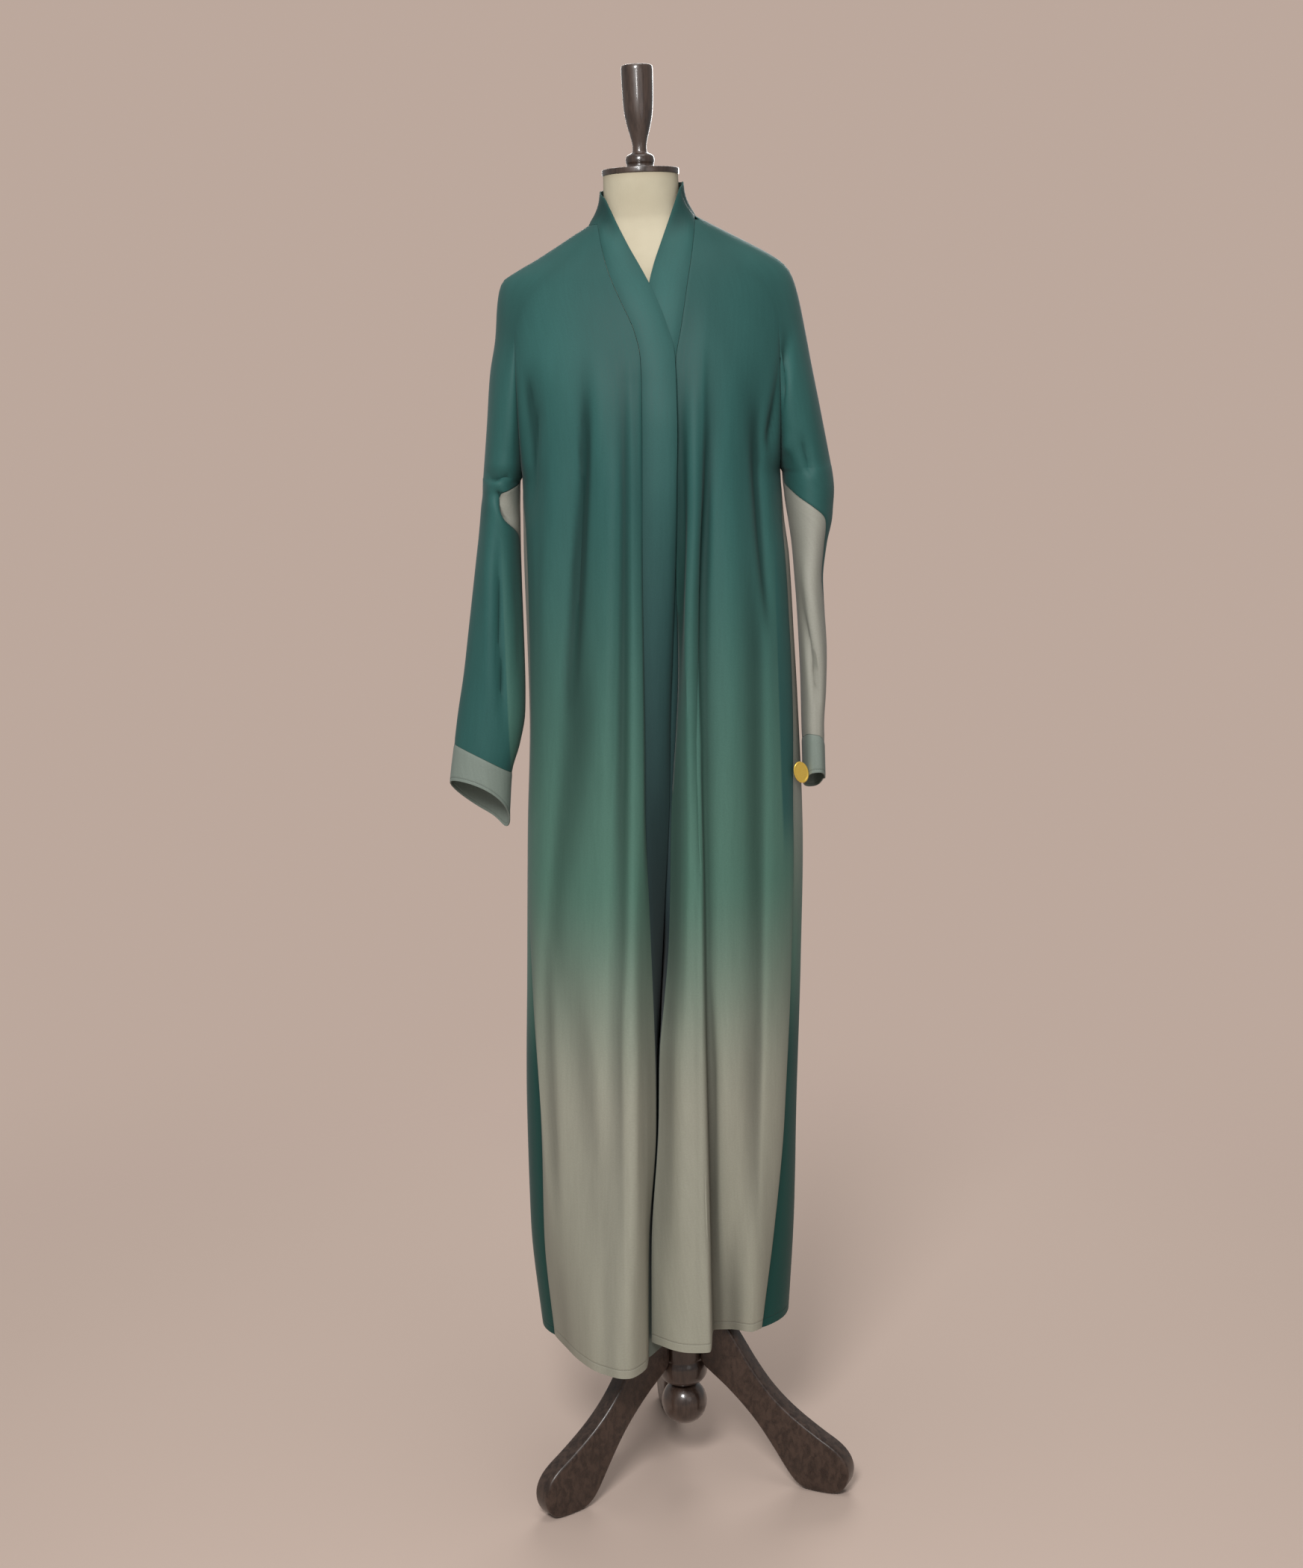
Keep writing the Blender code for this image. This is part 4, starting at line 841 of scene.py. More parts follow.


# ---------- soft folds, listed one by one: where each runs (across, height), its width, how far it stands out

folds = [
    # down the fronts, from the wearer's right to the left
    {"path": [(-0.137, 1.445), (-0.153, 1.341), (-0.152, 1.306)], "width": 0.0070, "out": -0.0068},
    {"path": [(-0.127, 1.436), (-0.142, 1.333), (-0.150, 1.236)], "width": 0.0075, "out": -0.0081},
    {"path": [(-0.101, 1.427), (-0.115, 1.306), (-0.129, 1.166), (-0.142, 1.006)],
     "width": 0.0100, "out": 0.0047},
    {"path": [(-0.073, 1.421), (-0.084, 1.297), (-0.096, 1.175), (-0.112, 1.002)],
     "width": 0.0070, "out": -0.0095},
    {"path": [(-0.036, 1.441), (-0.047, 1.252), (-0.062, 1.022), (-0.077, 0.804)],
     "width": 0.0110, "out": 0.0061},
    {"path": [(0.040, 1.422), (0.033, 1.249), (0.023, 1.072), (0.009, 0.892)],
     "width": 0.0060, "out": -0.0074},
    {"path": [(0.056, 1.438), (0.048, 1.249), (0.035, 1.072), (0.022, 0.846)],
     "width": 0.0070, "out": 0.0061},
    {"path": [(0.071, 1.390), (0.064, 1.274), (0.054, 1.147), (0.045, 0.982), (0.041, 0.753)],
     "width": 0.0065, "out": -0.0095},
    {"path": [(0.122, 1.401), (0.129, 1.230), (0.138, 1.084)], "width": 0.0080, "out": -0.0074},
    {"path": [(0.169, 1.478), (0.161, 1.417), (0.143, 1.344), (0.146, 1.299)],
     "width": 0.0065, "out": -0.0074},
    # lower skirt
    {"path": [(-0.129, 0.800), (-0.116, 0.650), (-0.104, 0.460), (-0.108, 0.200)],
     "width": 0.0210, "out": -0.0050},
    {"path": [(-0.148, 0.780), (-0.151, 0.600), (-0.152, 0.330)], "width": 0.0070, "out": -0.0030},
    {"path": [(-0.052, 0.760), (-0.046, 0.520), (-0.052, 0.210)], "width": 0.0160, "out": 0.0056},
    {"path": [(0.019, 0.708), (0.010, 0.471), (0.001, 0.247)], "width": 0.0110, "out": 0.0054},
    {"path": [(0.050, 0.704), (0.044, 0.466), (0.039, 0.261)], "width": 0.0080, "out": -0.0068},
    {"path": [(0.104, 0.694), (0.101, 0.502), (0.098, 0.306)], "width": 0.0190, "out": -0.0034},
    # right sleeve: the lip of the web, the hollow below it and the long folds of the tube
    {"path": [(-0.198, 1.320), (-0.173, 1.318), (-0.150, 1.317)], "width": 0.0055, "out": 0.0026},
    {"path": [(-0.214, 1.302), (-0.196, 1.306), (-0.160, 1.308)], "width": 0.0042, "out": -0.0074},
    {"path": [(-0.193, 1.299), (-0.182, 1.277), (-0.165, 1.241)], "width": 0.0060, "out": -0.0095},
    {"path": [(-0.187, 1.261), (-0.191, 1.107), (-0.192, 0.969)], "width": 0.0040, "out": -0.0061},
    {"path": [(-0.196, 1.270), (-0.205, 1.108), (-0.211, 0.979)], "width": 0.0080, "out": 0.0041},
    {"path": [(-0.169, 1.220), (-0.166, 1.134), (-0.169, 1.042)], "width": 0.0050, "out": -0.0041},
    # left sleeve: creases of the web, then the two folds of the grey side
    {"path": [(0.146, 1.300), (0.159, 1.310), (0.172, 1.318)], "width": 0.0045, "out": -0.0068},
    {"path": [(0.181, 1.346), (0.187, 1.317), (0.193, 1.290)], "width": 0.0050, "out": -0.0061},
    {"path": [(0.155, 1.329), (0.171, 1.338)], "width": 0.0060, "out": 0.0041},
    {"path": [(0.163, 1.230), (0.172, 1.160), (0.184, 1.085), (0.197, 0.985)],
     "width": 0.0042, "out": -0.0064},
    {"path": [(0.176, 1.215), (0.190, 1.110), (0.200, 1.030)], "width": 0.0070, "out": 0.0030}]
backCreases = [
    {"path": [(-0.130, 1.46), (-0.134, 1.30), (-0.126, 1.05)], "width": 0.009, "out": -0.0081},
    {"path": [(-0.070, 1.40), (-0.074, 1.20), (-0.078, 0.80)], "width": 0.011, "out": 0.0061},
    {"path": [(-0.020, 1.44), (-0.018, 1.20), (-0.022, 0.85)], "width": 0.010, "out": -0.0074},
    {"path": [(0.040, 1.42), (0.046, 1.15), (0.050, 0.75)], "width": 0.010, "out": 0.0061},
    {"path": [(0.092, 1.44), (0.098, 1.25), (0.104, 0.90)], "width": 0.009, "out": -0.0081},
    {"path": [(0.140, 1.46), (0.145, 1.38), (0.152, 1.32)], "width": 0.010, "out": -0.0081},
    {"path": [(-0.152, 1.42), (-0.156, 1.35)], "width": 0.009, "out": -0.0074},
    {"path": [(-0.190, 1.26), (-0.196, 1.15), (-0.208, 1.02)], "width": 0.008, "out": -0.0074},
    {"path": [(-0.206, 1.24), (-0.216, 1.12), (-0.232, 1.00)], "width": 0.008, "out": 0.0038},
    {"path": [(0.184, 1.24), (0.188, 1.12), (0.190, 1.00)], "width": 0.007, "out": 0.0038},
    {"path": [(0.200, 1.22), (0.196, 1.10)], "width": 0.006, "out": -0.0074}]


def foldOffsets(points, normals, lines, face):
    total = np.zeros(len(points))
    flat = points[:, [0, 2]]
    facing = easeAll(-normals[:, 1] * face * 1.6 - 0.2)
    for line in lines:
        path = np.array(line["path"])
        best, where, start = np.full(len(points), 9.0), np.zeros(len(points)), 0.0
        for a, b in zip(path, path[1:]):
            size = np.linalg.norm(b - a)
            t = np.clip((flat - a) @ (b - a) / size ** 2, 0, 1)
            off = np.linalg.norm(flat - a - t[:, None] * (b - a), axis=1)
            where = np.where(off < best, start + t * size, where)
            best = np.minimum(best, off)
            start += size
        share = where / start
        ends = easeAll(share / 0.35) * easeAll((1 - share) / 0.35)
        total += line["out"] * ends * facing * np.exp(-(best / line["width"]) ** 2)
    return total


# ---------- the robe's pieces ----------

def newSheet(name, thickness):
    return {"name": name, "thickness": thickness, "points": [], "index": {},
            "faces": [], "cloth": [], "edge": [], "grids": []}


def keyOf(p):
    return tuple(int(round(v * 1e5)) for v in p)


def addGrid(sheet, rows, hemmed="bottom"):
    ids = []
    for row in rows:
        line = []
        for p in row:
            key = keyOf(p)
            if key not in sheet["index"]:
                sheet["index"][key] = len(sheet["points"])
                sheet["points"].append(tuple(p))
            line.append(sheet["index"][key])
        ids.append(line)
    sheet["grids"].append(np.array(ids))
    grid = np.array(rows, dtype=float)
    across = np.linalg.norm(np.diff(grid, axis=1), axis=2).cumsum(axis=1)
    across = np.hstack([np.zeros((len(grid), 1)), across])
    down = np.linalg.norm(np.diff(grid, axis=0), axis=2).cumsum(axis=0)
    down = np.vstack([np.zeros((1, down.shape[1])), down])
    centred = across - across[:, across.shape[1] // 2][:, None]
    if hemmed == "bottom":
        distance, along = down[-1] - down, np.broadcast_to(across[-1], across.shape)
    elif hemmed == "none":
        distance, along = down + 1.0, across
    else:
        distance = across if hemmed == "start" else across[:, -1:] - across
        along = down
    for i in range(len(ids) - 1):
        for j in range(len(ids[0]) - 1):
            corners = [(i, j), (i + 1, j), (i + 1, j + 1), (i, j + 1)]
            loop = [ids[a][b] for a, b in corners]
            if len(set(loop)) < 4:
                continue
            sheet["faces"].append(loop)
            sheet["cloth"].append([(centred[c], -down[c]) for c in corners])
            sheet["edge"].append([(distance[c], along[c]) for c in corners])


def frontSheet(side):
    sheet = newSheet("front_" + side + "_cloth", cut["cloth"])
    body, sleeve = frontGrid(side), sleeveGrid(side, "front")
    if side == "left":
        body, sleeve = [row[::-1] for row in body], [row[::-1] for row in sleeve]
    addGrid(sheet, body)
    addGrid(sheet, sleeve, hemmed="none")
    return sheet


def backSheet():
    sheet = newSheet("back_cloth", cut["cloth"])
    right = [row[::-1] for row in sleeveGrid("right", "back")]
    for grid, hemmed in ((sleeveGrid("left", "back"), "none"), (backRows, "bottom"),
                         (right, "none")):
        addGrid(sheet, [liftNeck(grid[0])] + grid[1:], hemmed=hemmed)
    return sheet


def rolled(point, share):
    # round the neck the band is drawn in; down the front it is softly rounded
    x, y, z = point
    swell = math.sin(math.pi * share)
    collar = ease((z - 1.57) / 0.04)
    around = math.hypot(x, y)
    pull = -0.0038 * collar * swell * ease((y + 0.075) / 0.03) / max(around, 0.01)
    return (x + x * pull, y + y * pull - 0.0022 * swell * (1 - collar) * ease((z - 0.86) / 0.1), z)


def bandSheet(side):
    sheet = newSheet("band_" + side + "_cloth", cut["band"])
    rows = []
    for seam, edge in bandStations(side):
        steps = np.linspace(0, 1, fineness["bandColumns"] + 1)
        row = [tuple(a + (b - a) * t for a, b in zip(seam, edge)) for t in steps]
        row = [rolled(p, t) for p, t in zip(row, steps)]
        rows.append(row if side == "right" else row[::-1])
    addGrid(sheet, rows, hemmed="end" if side == "right" else "start")
    return sheet


def cuffSheet(side):
    sheet = newSheet("cuff_" + side + "_cloth", cut["band"])
    sizes = sleeveSizes[side]
    last = cuffs[side]["seam"]
    over, under = at(sizes, "over", last), at(sizes, "under", last)
    step = [j / fineness["sleeveColumns"] for j in range(fineness["sleeveColumns"])]
    angles = [over + (under - over) * t for t in step]
    angles += [under + (over + 360 - under) * t for t in step] + [over]
    rows = []
    for share in np.linspace(0, 1, 13):
        row = []
        for angle in angles:
            top = slant(side, "seam", angle)
            row.append(sleevePoint(side, angle, top + share * (slant(side, "hem", angle) - top)))
        rows.append(row[::-1] if side == "left" else row)
    addGrid(sheet, rows)
    return sheet


def sharedDirections(sheets, count):
    total = np.zeros((count, 3))
    for sheet in sheets:
        a, b, c, d = (sheet["array"][sheet["quads"][:, i]] for i in range(4))
        normal = np.cross(c - a, d - b)
        normal /= np.maximum(np.linalg.norm(normal, axis=1), 1e-12)[:, None]
        for i in range(4):
            np.add.at(total, sheet["shared"][sheet["quads"][:, i]], normal)
    return total / np.maximum(np.linalg.norm(total, axis=1), 1e-9)[:, None]


def sewSheets(sheets):
    # one set of directions for all pieces, so that they meet at every seam
    keys = {}
    owners = {}
    for sheet in sheets:
        sheet["array"] = np.array(sheet["points"])
        sheet["quads"] = np.array(sheet["faces"])
        sheet["shared"] = np.array([keys.setdefault(keyOf(p), len(keys)) for p in sheet["array"]])
        for spot in sheet["shared"]:
            owners.setdefault(spot, set()).add(sheet["name"])
    directions = sharedDirections(sheets, len(keys))
    for sheet in sheets:
        normals = directions[sheet["shared"]]
        offset = foldOffsets(sheet["array"], normals, folds, 1)
        offset += foldOffsets(sheet["array"], normals, backCreases, -1)
        sheet["array"] = sheet["array"] + normals * offset[:, None]
    directions = sharedDirections(sheets, len(keys))
    return [thicken(sheet, directions, owners) for sheet in sheets]


def swellOf(sheet, normals, reach=6):
    # below 0 in the folds' hollows, above 0 on their crests; the cloth's colour uses it to paint
    # shade into the hollows and highlight onto the crests
    swell = np.zeros(len(sheet["array"]))
    for ids in sheet["grids"]:
        spots = sheet["array"][ids]
        padded = np.pad(spots, ((0, 0), (reach, reach), (0, 0)), mode="reflect",
                        reflect_type="odd")
        columns = spots.shape[1]
        mean = sum(padded[:, k:k + columns] for k in range(2 * reach + 1)) / (2 * reach + 1)
        swell[ids] = ((spots - mean) * normals[ids]).sum(axis=2)
    return np.clip(swell / 0.0030, -1, 1)


def thicken(sheet, directions, owners):
    points, faces = sheet["array"], sheet["faces"]
    normals = directions[sheet["shared"]]
    swell = swellOf(sheet, normals)
    edges = {(a, b) for face in faces for a, b in zip(face, face[1:] + face[:1])}
    rim = [(a, b) for (a, b) in sorted(edges) if (b, a) not in edges]
    along = {}
    for a, b in rim:
        step = (points[b] - points[a]) / max(np.linalg.norm(points[b] - points[a]), 1e-9)
        along.setdefault(a, []).append(step)
        along.setdefault(b, []).append(step)
    half = np.full(len(points), sheet["thickness"] / 2)
    for v, steps in along.items():
        sewn = len(owners[sheet["shared"][v]]) > 1
        half[v] *= 0.4 if sewn else 0.75
        if sewn:
            inward = np.mean([np.cross(normals[v], step) for step in steps], axis=0)
            size = max(np.linalg.norm(inward), 0.6)
            points[v] = points[v] + inward / size * 0.0002
    count = len(points)
    both = np.vstack([points + normals * half[:, None], points - normals * half[:, None]])
    loops = [list(face) for face in faces] + [[v + count for v in face[::-1]] for face in faces]
    cloth = sheet["cloth"] + [uv[::-1] for uv in sheet["cloth"]]
    edge = sheet["edge"] + [uv[::-1] for uv in sheet["edge"]]
    for a, b in rim:
        loops.append([b, a, a + count, b + count])
        cloth.append([(0.0, 0.0)] * 4)
        edge.append([(1.0, 0.0)] * 4)
    piece = makeMesh(sheet["name"], both, loops, 50)
    for label, values in (("cloth", cloth), ("edge", edge)):
        layer = piece.data.uv_layers.new(name=label)
        flat = np.array([uv for loop in values for uv in loop], dtype=np.float32).ravel()
        layer.data.foreach_set("uv", flat)
    # the swell measure is kept on the mesh for the painted fold shade and painted highlight in the
    # cloth's colour
    layer = piece.data.attributes.new("swell", "FLOAT", "POINT")
    layer.data.foreach_set("value", np.hstack([swell, swell]).astype(np.float32))
    a, b, c, d = (points[sheet["quads"][:, i]] for i in range(4))
    piece["flatArea"] = float(np.linalg.norm(np.cross(c - a, d - b), axis=1).sum() / 2)
    return piece


def makeMesh(name, points, faces, sharp=35):
    mesh = bpy.data.meshes.new(name)
    shifted = np.array(points, dtype=float) + np.array([poleAt[0], poleAt[1], 0.0])
    mesh.from_pydata(shifted.tolist(), [], faces)
    mesh.validate()
    mesh.shade_smooth()
    mesh.set_sharp_from_angle(angle=math.radians(sharp))
    piece = bpy.data.objects.new(name, mesh)
    bpy.context.collection.objects.link(piece)
    return piece


backRows = backGrid()
sheets = [frontSheet("right"), frontSheet("left"), backSheet(), bandSheet("right"),
          bandSheet("left"), cuffSheet("right"), cuffSheet("left")]
robe = sewSheets(sheets)
robeFinish = {
    "front_right_cloth": (frontSatin, "satin", "front_right"),
    "front_left_cloth": (frontSatin, "satin", "front_left"),
    "back_cloth": (backSatin, "satin_back", "back"),
    "band_right_cloth": (bandSatin, "satin", "band_right"),
    "band_left_cloth": (bandSatin, "satin", "band_left"),
    "cuff_right_cloth": (cuffSatin, "satin_cuff", "cuff_right"),
    "cuff_left_cloth": (cuffSatin, "satin_cuff", "cuff_left")}


def finishPiece(piece, material, slot, *nodes):
    piece.data.materials.append(material)
    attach(piece, "root")
    if nodes:
        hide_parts(*nodes)


for piece in robe:
    material, slot, node = robeFinish[piece.name]
    finishPiece(piece, material, slot, node)
    print(piece.name, "area", round(piece["flatArea"], 4), "faces", len(piece.data.polygons))


# ---------- dress form ----------

formSizes = table(
    "z      side    front   back   power",
    (1.6570, 0.0450, 0.0450, 0.0450, 2.0),
    (1.6300, 0.0455, 0.0440, 0.0460, 2.0),
    (1.6080, 0.0490, 0.0445, 0.0530, 2.0),
    (1.5940, 0.0640, 0.0480, 0.0590, 2.0),
    (1.5780, 0.0930, 0.0560, 0.0660, 2.0),
    (1.5600, 0.1220, 0.0670, 0.0720, 2.0),
    (1.5400, 0.1500, 0.0785, 0.0780, 2.05),
    (1.5100, 0.1600, 0.0890, 0.0860, 2.2),
    (1.4400, 0.1560, 0.1060, 0.0920, 2.2),
    (1.3700, 0.1440, 0.1160, 0.0900, 2.2),
    (1.3000, 0.1340, 0.1100, 0.0840, 2.2),
    (1.1700, 0.1140, 0.0830, 0.0760, 2.2),
    (1.0600, 0.1350, 0.0760, 0.0840, 2.2),
    (0.9700, 0.1500, 0.0700, 0.0940, 2.25),
    (0.9050, 0.1490, 0.0680, 0.0930, 2.25),
    (0.8850, 0.1440, 0.0650, 0.0890, 2.25))


def formRing(z, sides, grow=0.0):
    power = 2 / at(formSizes, "power", z)
    shift = 0.004 * ease((1.62 - z) / 0.05)
    points = []
    for j in range(sides):
        a = 2 * math.pi * j / sides
        c, s = math.cos(a), math.sin(a)
        depth = at(formSizes, "front" if s >= 0 else "back", z) + grow
        x = shift + (at(formSizes, "side", z) + grow) * math.copysign(abs(c) ** power, c)
        points.append((x, -depth * math.copysign(abs(s) ** power, s), z))
    return points


def loftPiece(name, rings, sharp=35):
    sides = len(rings[0])
    points = [p for one in rings for p in one]
    faces = [list(range(sides))[::-1]]
    for i in range(len(rings) - 1):
        for j in range(sides):
            a, b = i * sides + j, i * sides + (j + 1) % sides
            faces.append([a, b, b + sides, a + sides])
    last = (len(rings) - 1) * sides
    faces.append([last + j for j in range(sides)])
    return makeMesh(name, points, faces, sharp)


formHeights = [*np.linspace(1.657, 1.54, 44), *np.linspace(1.533, 0.905, 60),
               0.898, 0.892, 0.887, 0.885]
formCover = loftPiece("form_cover", [formRing(z, 96) for z in formHeights], sharp=50)
finishPiece(formCover, linenCover, "linen", "dress_form")
print("dress form made")


# ---------- stand ----------

def soften(profile, rounds):
    # cuts the corners of an open line, ends kept
    for _ in range(rounds):
        fresh = [profile[0]]
        for (r0, z0), (r1, z1) in zip(profile, profile[1:]):
            fresh.append((r0 * 0.75 + r1 * 0.25, z0 * 0.75 + z1 * 0.25))
            fresh.append((r0 * 0.25 + r1 * 0.75, z0 * 0.25 + z1 * 0.75))
        profile = fresh + [profile[-1]]
    return profile


def turnedPiece(name, profile, node, rounds=2, sides=72):
    rings = []
    for radius, z in soften(list(profile), rounds):
        rings.append([(radius * math.cos(2 * math.pi * j / sides),
                       -radius * math.sin(2 * math.pi * j / sides), z) for j in range(sides)])
    piece = loftPiece(name, rings, sharp=40)
    finishPiece(piece, turnedWood, "dark_wood", node)
    return piece


standProfiles = {
    # radius and height, top first
    "neck_cap": ((0.0440, 1.6640), (0.0458, 1.6640), (0.0462, 1.6634), (0.0462, 1.6580),
                 (0.0458, 1.6573), (0.0448, 1.6573)),
    "finial": ((0.0110, 1.7845), (0.0172, 1.7845), (0.0190, 1.7820), (0.0189, 1.7740),
               (0.0186, 1.7600), (0.0180, 1.7400), (0.0164, 1.7250), (0.0135, 1.7120),
               (0.0102, 1.7010), (0.0083, 1.6920), (0.0084, 1.6860), (0.0090, 1.6832),
               (0.0160, 1.6800), (0.0172, 1.6765), (0.0172, 1.6722), (0.0160, 1.6695),
               (0.0162, 1.6678), (0.0178, 1.6662), (0.0178, 1.6643)),
    "pole": ((0.0128, 0.8847), (0.0140, 0.8835), (0.0140, 0.8700), (0.0140, 0.2520),
             (0.0140, 0.2453)),
    "hub": ((0.0255, 0.2450), (0.0285, 0.2450), (0.0297, 0.2420), (0.0297, 0.2300),
            (0.0297, 0.1640), (0.0297, 0.1570), (0.0290, 0.1545), (0.0300, 0.1515),
            (0.0318, 0.1470), (0.0320, 0.1400), (0.0312, 0.1320), (0.0270, 0.1245),
            (0.0225, 0.1215), (0.0195, 0.1200)),
    "ball": ((0.0135, 0.1197), (0.0140, 0.1180), (0.0175, 0.1168), (0.0235, 0.1115),
             (0.0280, 0.1035), (0.0300, 0.0940), (0.0285, 0.0830), (0.0235, 0.0730),
             (0.0150, 0.0660), (0.0060, 0.0635), (0.0010, 0.0633))}
for name, profile in standProfiles.items():
    turnedPiece("turned_" + name, profile, name, rounds=3 if name in ("ball", "finial") else 2)

legShape = {"thickness": 0.0270, "rounding": 0.0040, "start": 0.0301}
legOutline = (
    (0.0301, 0.2280), (0.0480, 0.2280), (0.0640, 0.2160), (0.0820, 0.1880), (0.1010, 0.1570),
    (0.1230, 0.1280), (0.1510, 0.1020), (0.1880, 0.0770), (0.2140, 0.0620), (0.2270, 0.0470),
    (0.2310, 0.0300), (0.2260, 0.0120), (0.2130, 0.0000), (0.1780, 0.0000), (0.1600, 0.0060),
    (0.1460, 0.0230), (0.1280, 0.0520), (0.1030, 0.0880), (0.0700, 0.1220), (0.0440, 0.1430),
    (0.0350, 0.1500), (0.0301, 0.1580))


def legPiece(name, turn, node):
    outline = np.array(soften(list(legOutline), 2))
    count = len(outline)
    half, rounding = legShape["thickness"] / 2, legShape["rounding"]
    layers = []
    for k in range(6):
        a = math.radians(90 * k / 5)
        layers.append((-half + rounding * (1 - math.sin(a)), rounding * (1 - math.cos(a))))
    layers = [(-half + rounding * (1 - math.sin(math.radians(90 - 18 * k))),
               rounding * (1 - math.cos(math.radians(90 - 18 * k)))) for k in range(6)]
    layers = layers + [(-offset, inset) for offset, inset in layers[::-1]]
    points = []
    for offset, inset in layers:
        for k, (r, z) in enumerate(outline):
            along = outline[(k + 1) % count] - outline[k - 1]
            along /= np.linalg.norm(along)
            r2, z2 = r + along[1] * inset, z - along[0] * inset
            points.append((max(r2, legShape["start"]), offset, max(z2, 0.0)))
    faces = [list(range(count))[::-1]]
    for layer in range(len(layers) - 1):
        for k in range(count):
            a, b = layer * count + k, layer * count + (k + 1) % count
            faces.append([a, b, b + count, a + count])
    faces.append([(len(layers) - 1) * count + k for k in range(count)])
    a = math.radians(turn)
    out, side = (math.sin(a), -math.cos(a)), (math.cos(a), math.sin(a))
    placed = [(out[0] * r + side[0] * s, out[1] * r + side[1] * s, z) for r, s, z in points]
    piece = makeMesh(name, placed, faces, 40)
    finishPiece(piece, sawnWood, "dark_wood", node)


for name, turn, node in (("sawn_leg_right", -54.0, "leg_right"), ("sawn_leg_left", 66.0, "leg_left"),
                         ("sawn_leg_rear", 186.0, "leg_rear")):
    legPiece(name, turn, node)
print("stand made")


# ---------- the oval plate on the left cuff ----------

plate = {"halfWidth": 0.0098, "halfHeight": 0.0138, "thick": 0.0018,
         "at": (0.1695, -0.0681, 0.9362), "turn": 25, "lean": 20}


def platePiece():
    turn, lean = math.radians(plate["turn"]), math.radians(plate["lean"])
    out = np.array([math.sin(turn), -math.cos(turn), 0.0])
    along = np.array([math.cos(turn), math.sin(turn), 0.0])
    up = np.array([0.0, 0.0, 1.0])
    longAxis = up * math.cos(lean) - along * math.sin(lean)
    shortAxis = along * math.cos(lean) + up * math.sin(lean)
    rings = []
    for scale, rise in ((0.30, 0.80), (0.70, 0.78), (0.78, 0.76), (0.82, 0.84), (0.86, 0.98),
                        (0.91, 1.0), (0.96, 0.94), (1.0, 0.75), (1.0, 0.25), (0.96, 0.06),
                        (0.90, 0.0)):
        one = []
        for j in range(72):
            t = 2 * math.pi * j / 72
            one.append(np.array(plate["at"]) + shortAxis * plate["halfWidth"] * scale * math.cos(t)
                       - longAxis * plate["halfHeight"] * scale * math.sin(t)
                       + out * plate["thick"] * rise)
        rings.append(one)
    piece = loftPiece("oval_plate", rings, sharp=60)
    finishPiece(piece, plateBrass, "brass", "cuff_plate")


platePiece()
print("plate made")


# ---------- floor, light and camera ----------

studio = {
    "floor": (0.545, 0.428, 0.365), "backdrop": (0.503, 0.392, 0.335), "surround": 0.30,
    "fadeFrom": 0.55, "fadeTo": 2.3,
    "lights": (
        # name, place, size, watts
        ("key", (-0.45, -2.8, 2.7), 0.9, 80.0),
        ("spark", (-0.20, -2.7, 1.95), 0.25, 5.0), ("fill", (1.5, -2.9, 1.5), 1.4, 4.0),
        ("top", (0.1, -0.3, 3.6), 1.5, 20.0),
        ("behind", (0.4, 3.0, 2.2), 1.8, 46.0))}


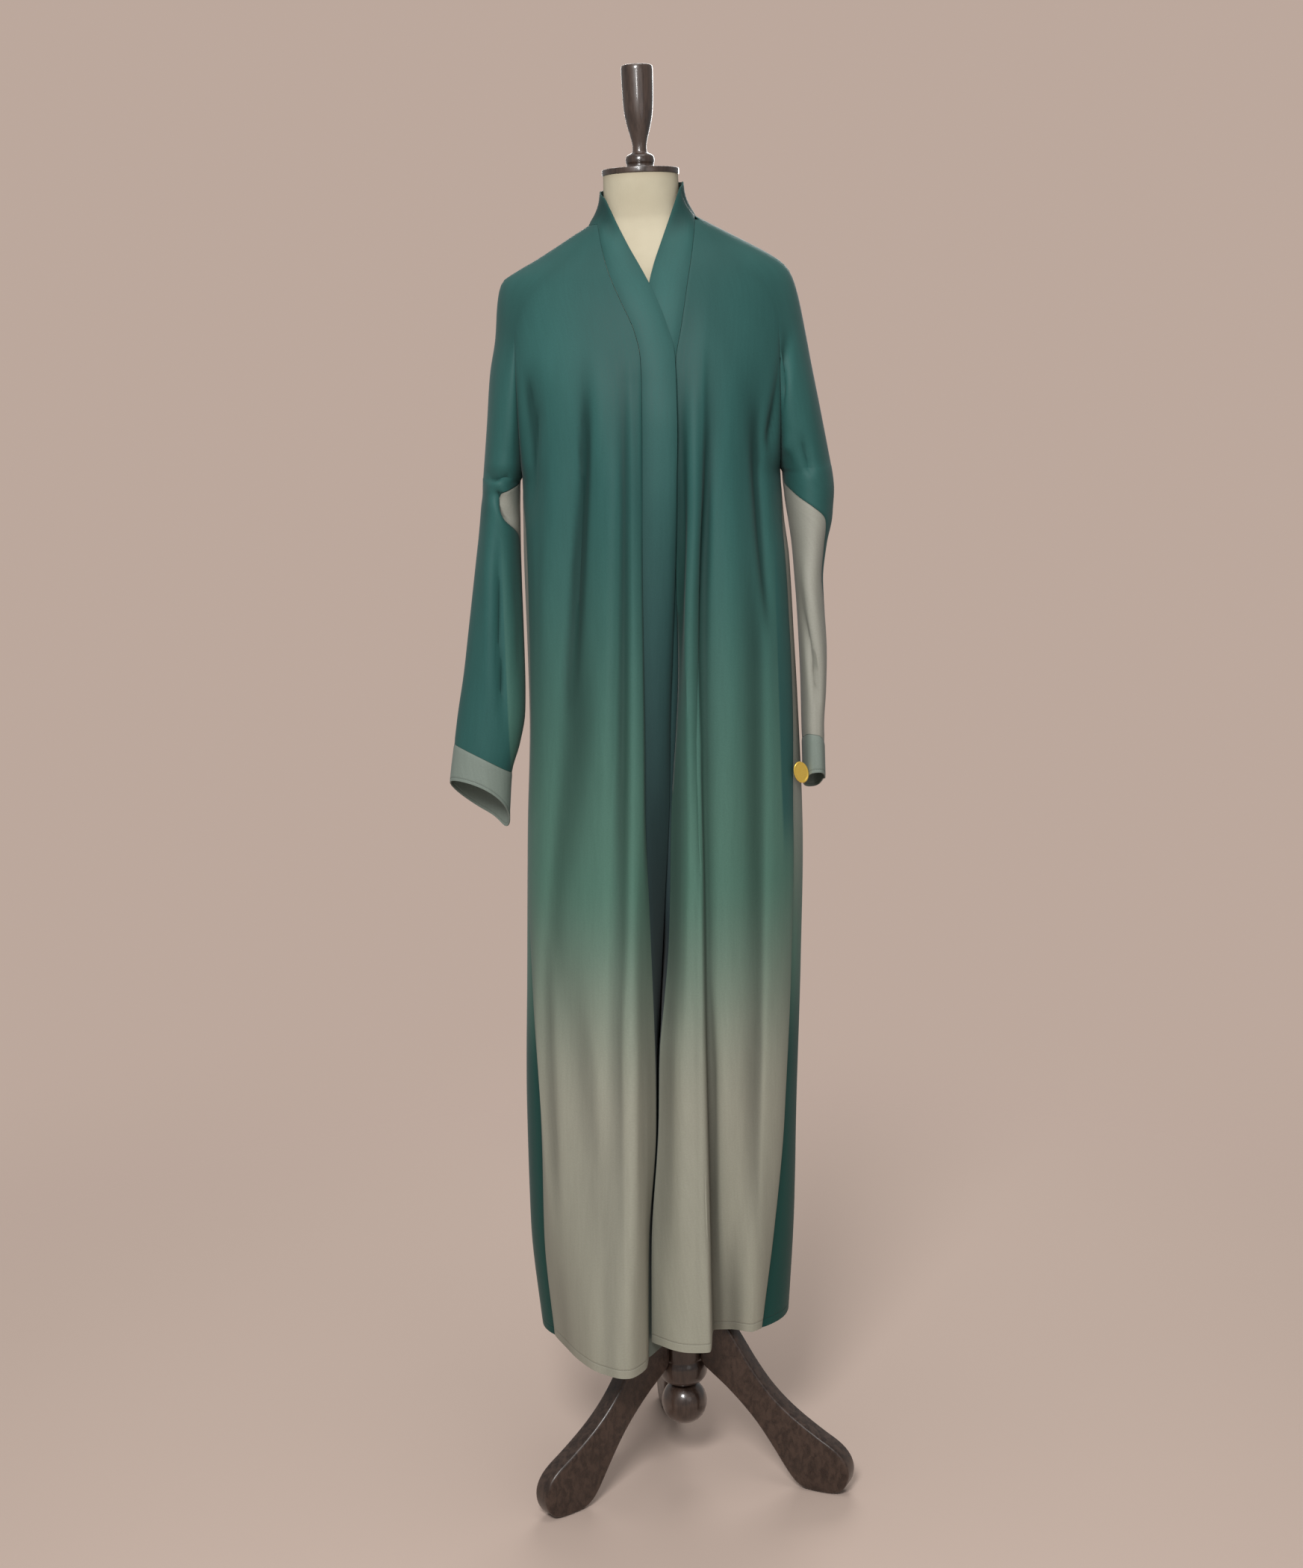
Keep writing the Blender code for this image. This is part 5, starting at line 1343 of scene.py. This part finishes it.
def makeFloor():
    mesh = bpy.data.meshes.new("studio_floor")
    reach = 60.0
    mesh.from_pydata([(-reach, -reach, 0), (reach, -reach, 0), (reach, reach, 0),
                      (-reach, reach, 0)], [], [[0, 1, 2, 3]])
    floor = bpy.data.objects.new("studio_floor", mesh)
    bpy.context.collection.objects.link(floor)
    material, tree, shader = startMaterial("studioFloor")
    spot = addNode(tree, "TexCoord")
    cloud = addNode(tree, "TexNoise")
    cloud.inputs["Scale"].default_value = 1.2
    cloud.inputs["Detail"].default_value = 2.0
    tree.links.new(spot.outputs["Object"], cloud.inputs["Vector"])
    base = studio["floor"]
    colour = mixColour(tree, cloud.outputs[0], tuple(c * 0.985 for c in base),
                       tuple(c * 1.015 for c in base))
    tree.links.new(colour, shader.inputs["Base Color"])
    shader.inputs["Roughness"].default_value = 0.9
    shader.inputs["Specular IOR Level"].default_value = 0.1
    near = addNode(tree, "VectorMath", operation="LENGTH")
    tree.links.new(spot.outputs["Object"], near.inputs[0])
    tree.links.new(spread(tree, near.outputs["Value"], studio["fadeFrom"], studio["fadeTo"],
                          1.0, 0.0), shader.inputs["Alpha"])
    mesh.materials.append(material)


def makeWorld():
    world = bpy.data.worlds.new("studio")
    bpy.context.scene.world = world
    world.use_nodes = True
    tree = world.node_tree
    for node in list(tree.nodes):
        tree.nodes.remove(node)
    seen = addNode(tree, "Background")
    seen.inputs["Color"].default_value = (*studio["backdrop"], 1.0)
    seen.inputs["Strength"].default_value = 1.0
    lit = addNode(tree, "Background")
    lit.inputs["Color"].default_value = (1.0, 0.985, 0.97, 1.0)
    lit.inputs["Strength"].default_value = studio["surround"]
    path = addNode(tree, "LightPath")
    mix = addNode(tree, "MixShader")
    tree.links.new(path.outputs["Is Camera Ray"], mix.inputs[0])
    tree.links.new(lit.outputs[0], mix.inputs[1])
    tree.links.new(seen.outputs[0], mix.inputs[2])
    end = addNode(tree, "OutputWorld")
    tree.links.new(mix.outputs[0], end.inputs[0])


def makeLights():
    for name, spot, size, watts in studio["lights"]:
        data = bpy.data.lights.new("light_" + name, "AREA")
        data.shape = "DISK"
        data.size = size
        data.energy = watts
        lamp = bpy.data.objects.new("light_" + name, data)
        lamp.location = spot
        aim = Vector((0.0, 0.0, 0.95)) - Vector(spot)
        lamp.rotation_euler = aim.to_track_quat("-Z", "Y").to_euler()
        bpy.context.collection.objects.link(lamp)


def makeCamera():
    data = bpy.data.cameras.new("camera")
    data.sensor_fit = "VERTICAL"
    data.sensor_height = 36.0
    data.lens = 3101 / 2100 * 36.0
    camera = bpy.data.objects.new("camera", data)
    camera.matrix_world = (Matrix.Translation((0.0072, -2.8983, 1.419))
                           @ Matrix.Rotation(math.radians(90 - 9.97), 4, "X")
                           @ Matrix.Rotation(math.radians(-2.10), 4, "Z"))
    bpy.context.collection.objects.link(camera)
    bpy.context.scene.camera = camera


makeFloor()
makeWorld()
makeLights()
makeCamera()
bpy.context.scene.view_settings.view_transform = "Standard"
print("studio made")
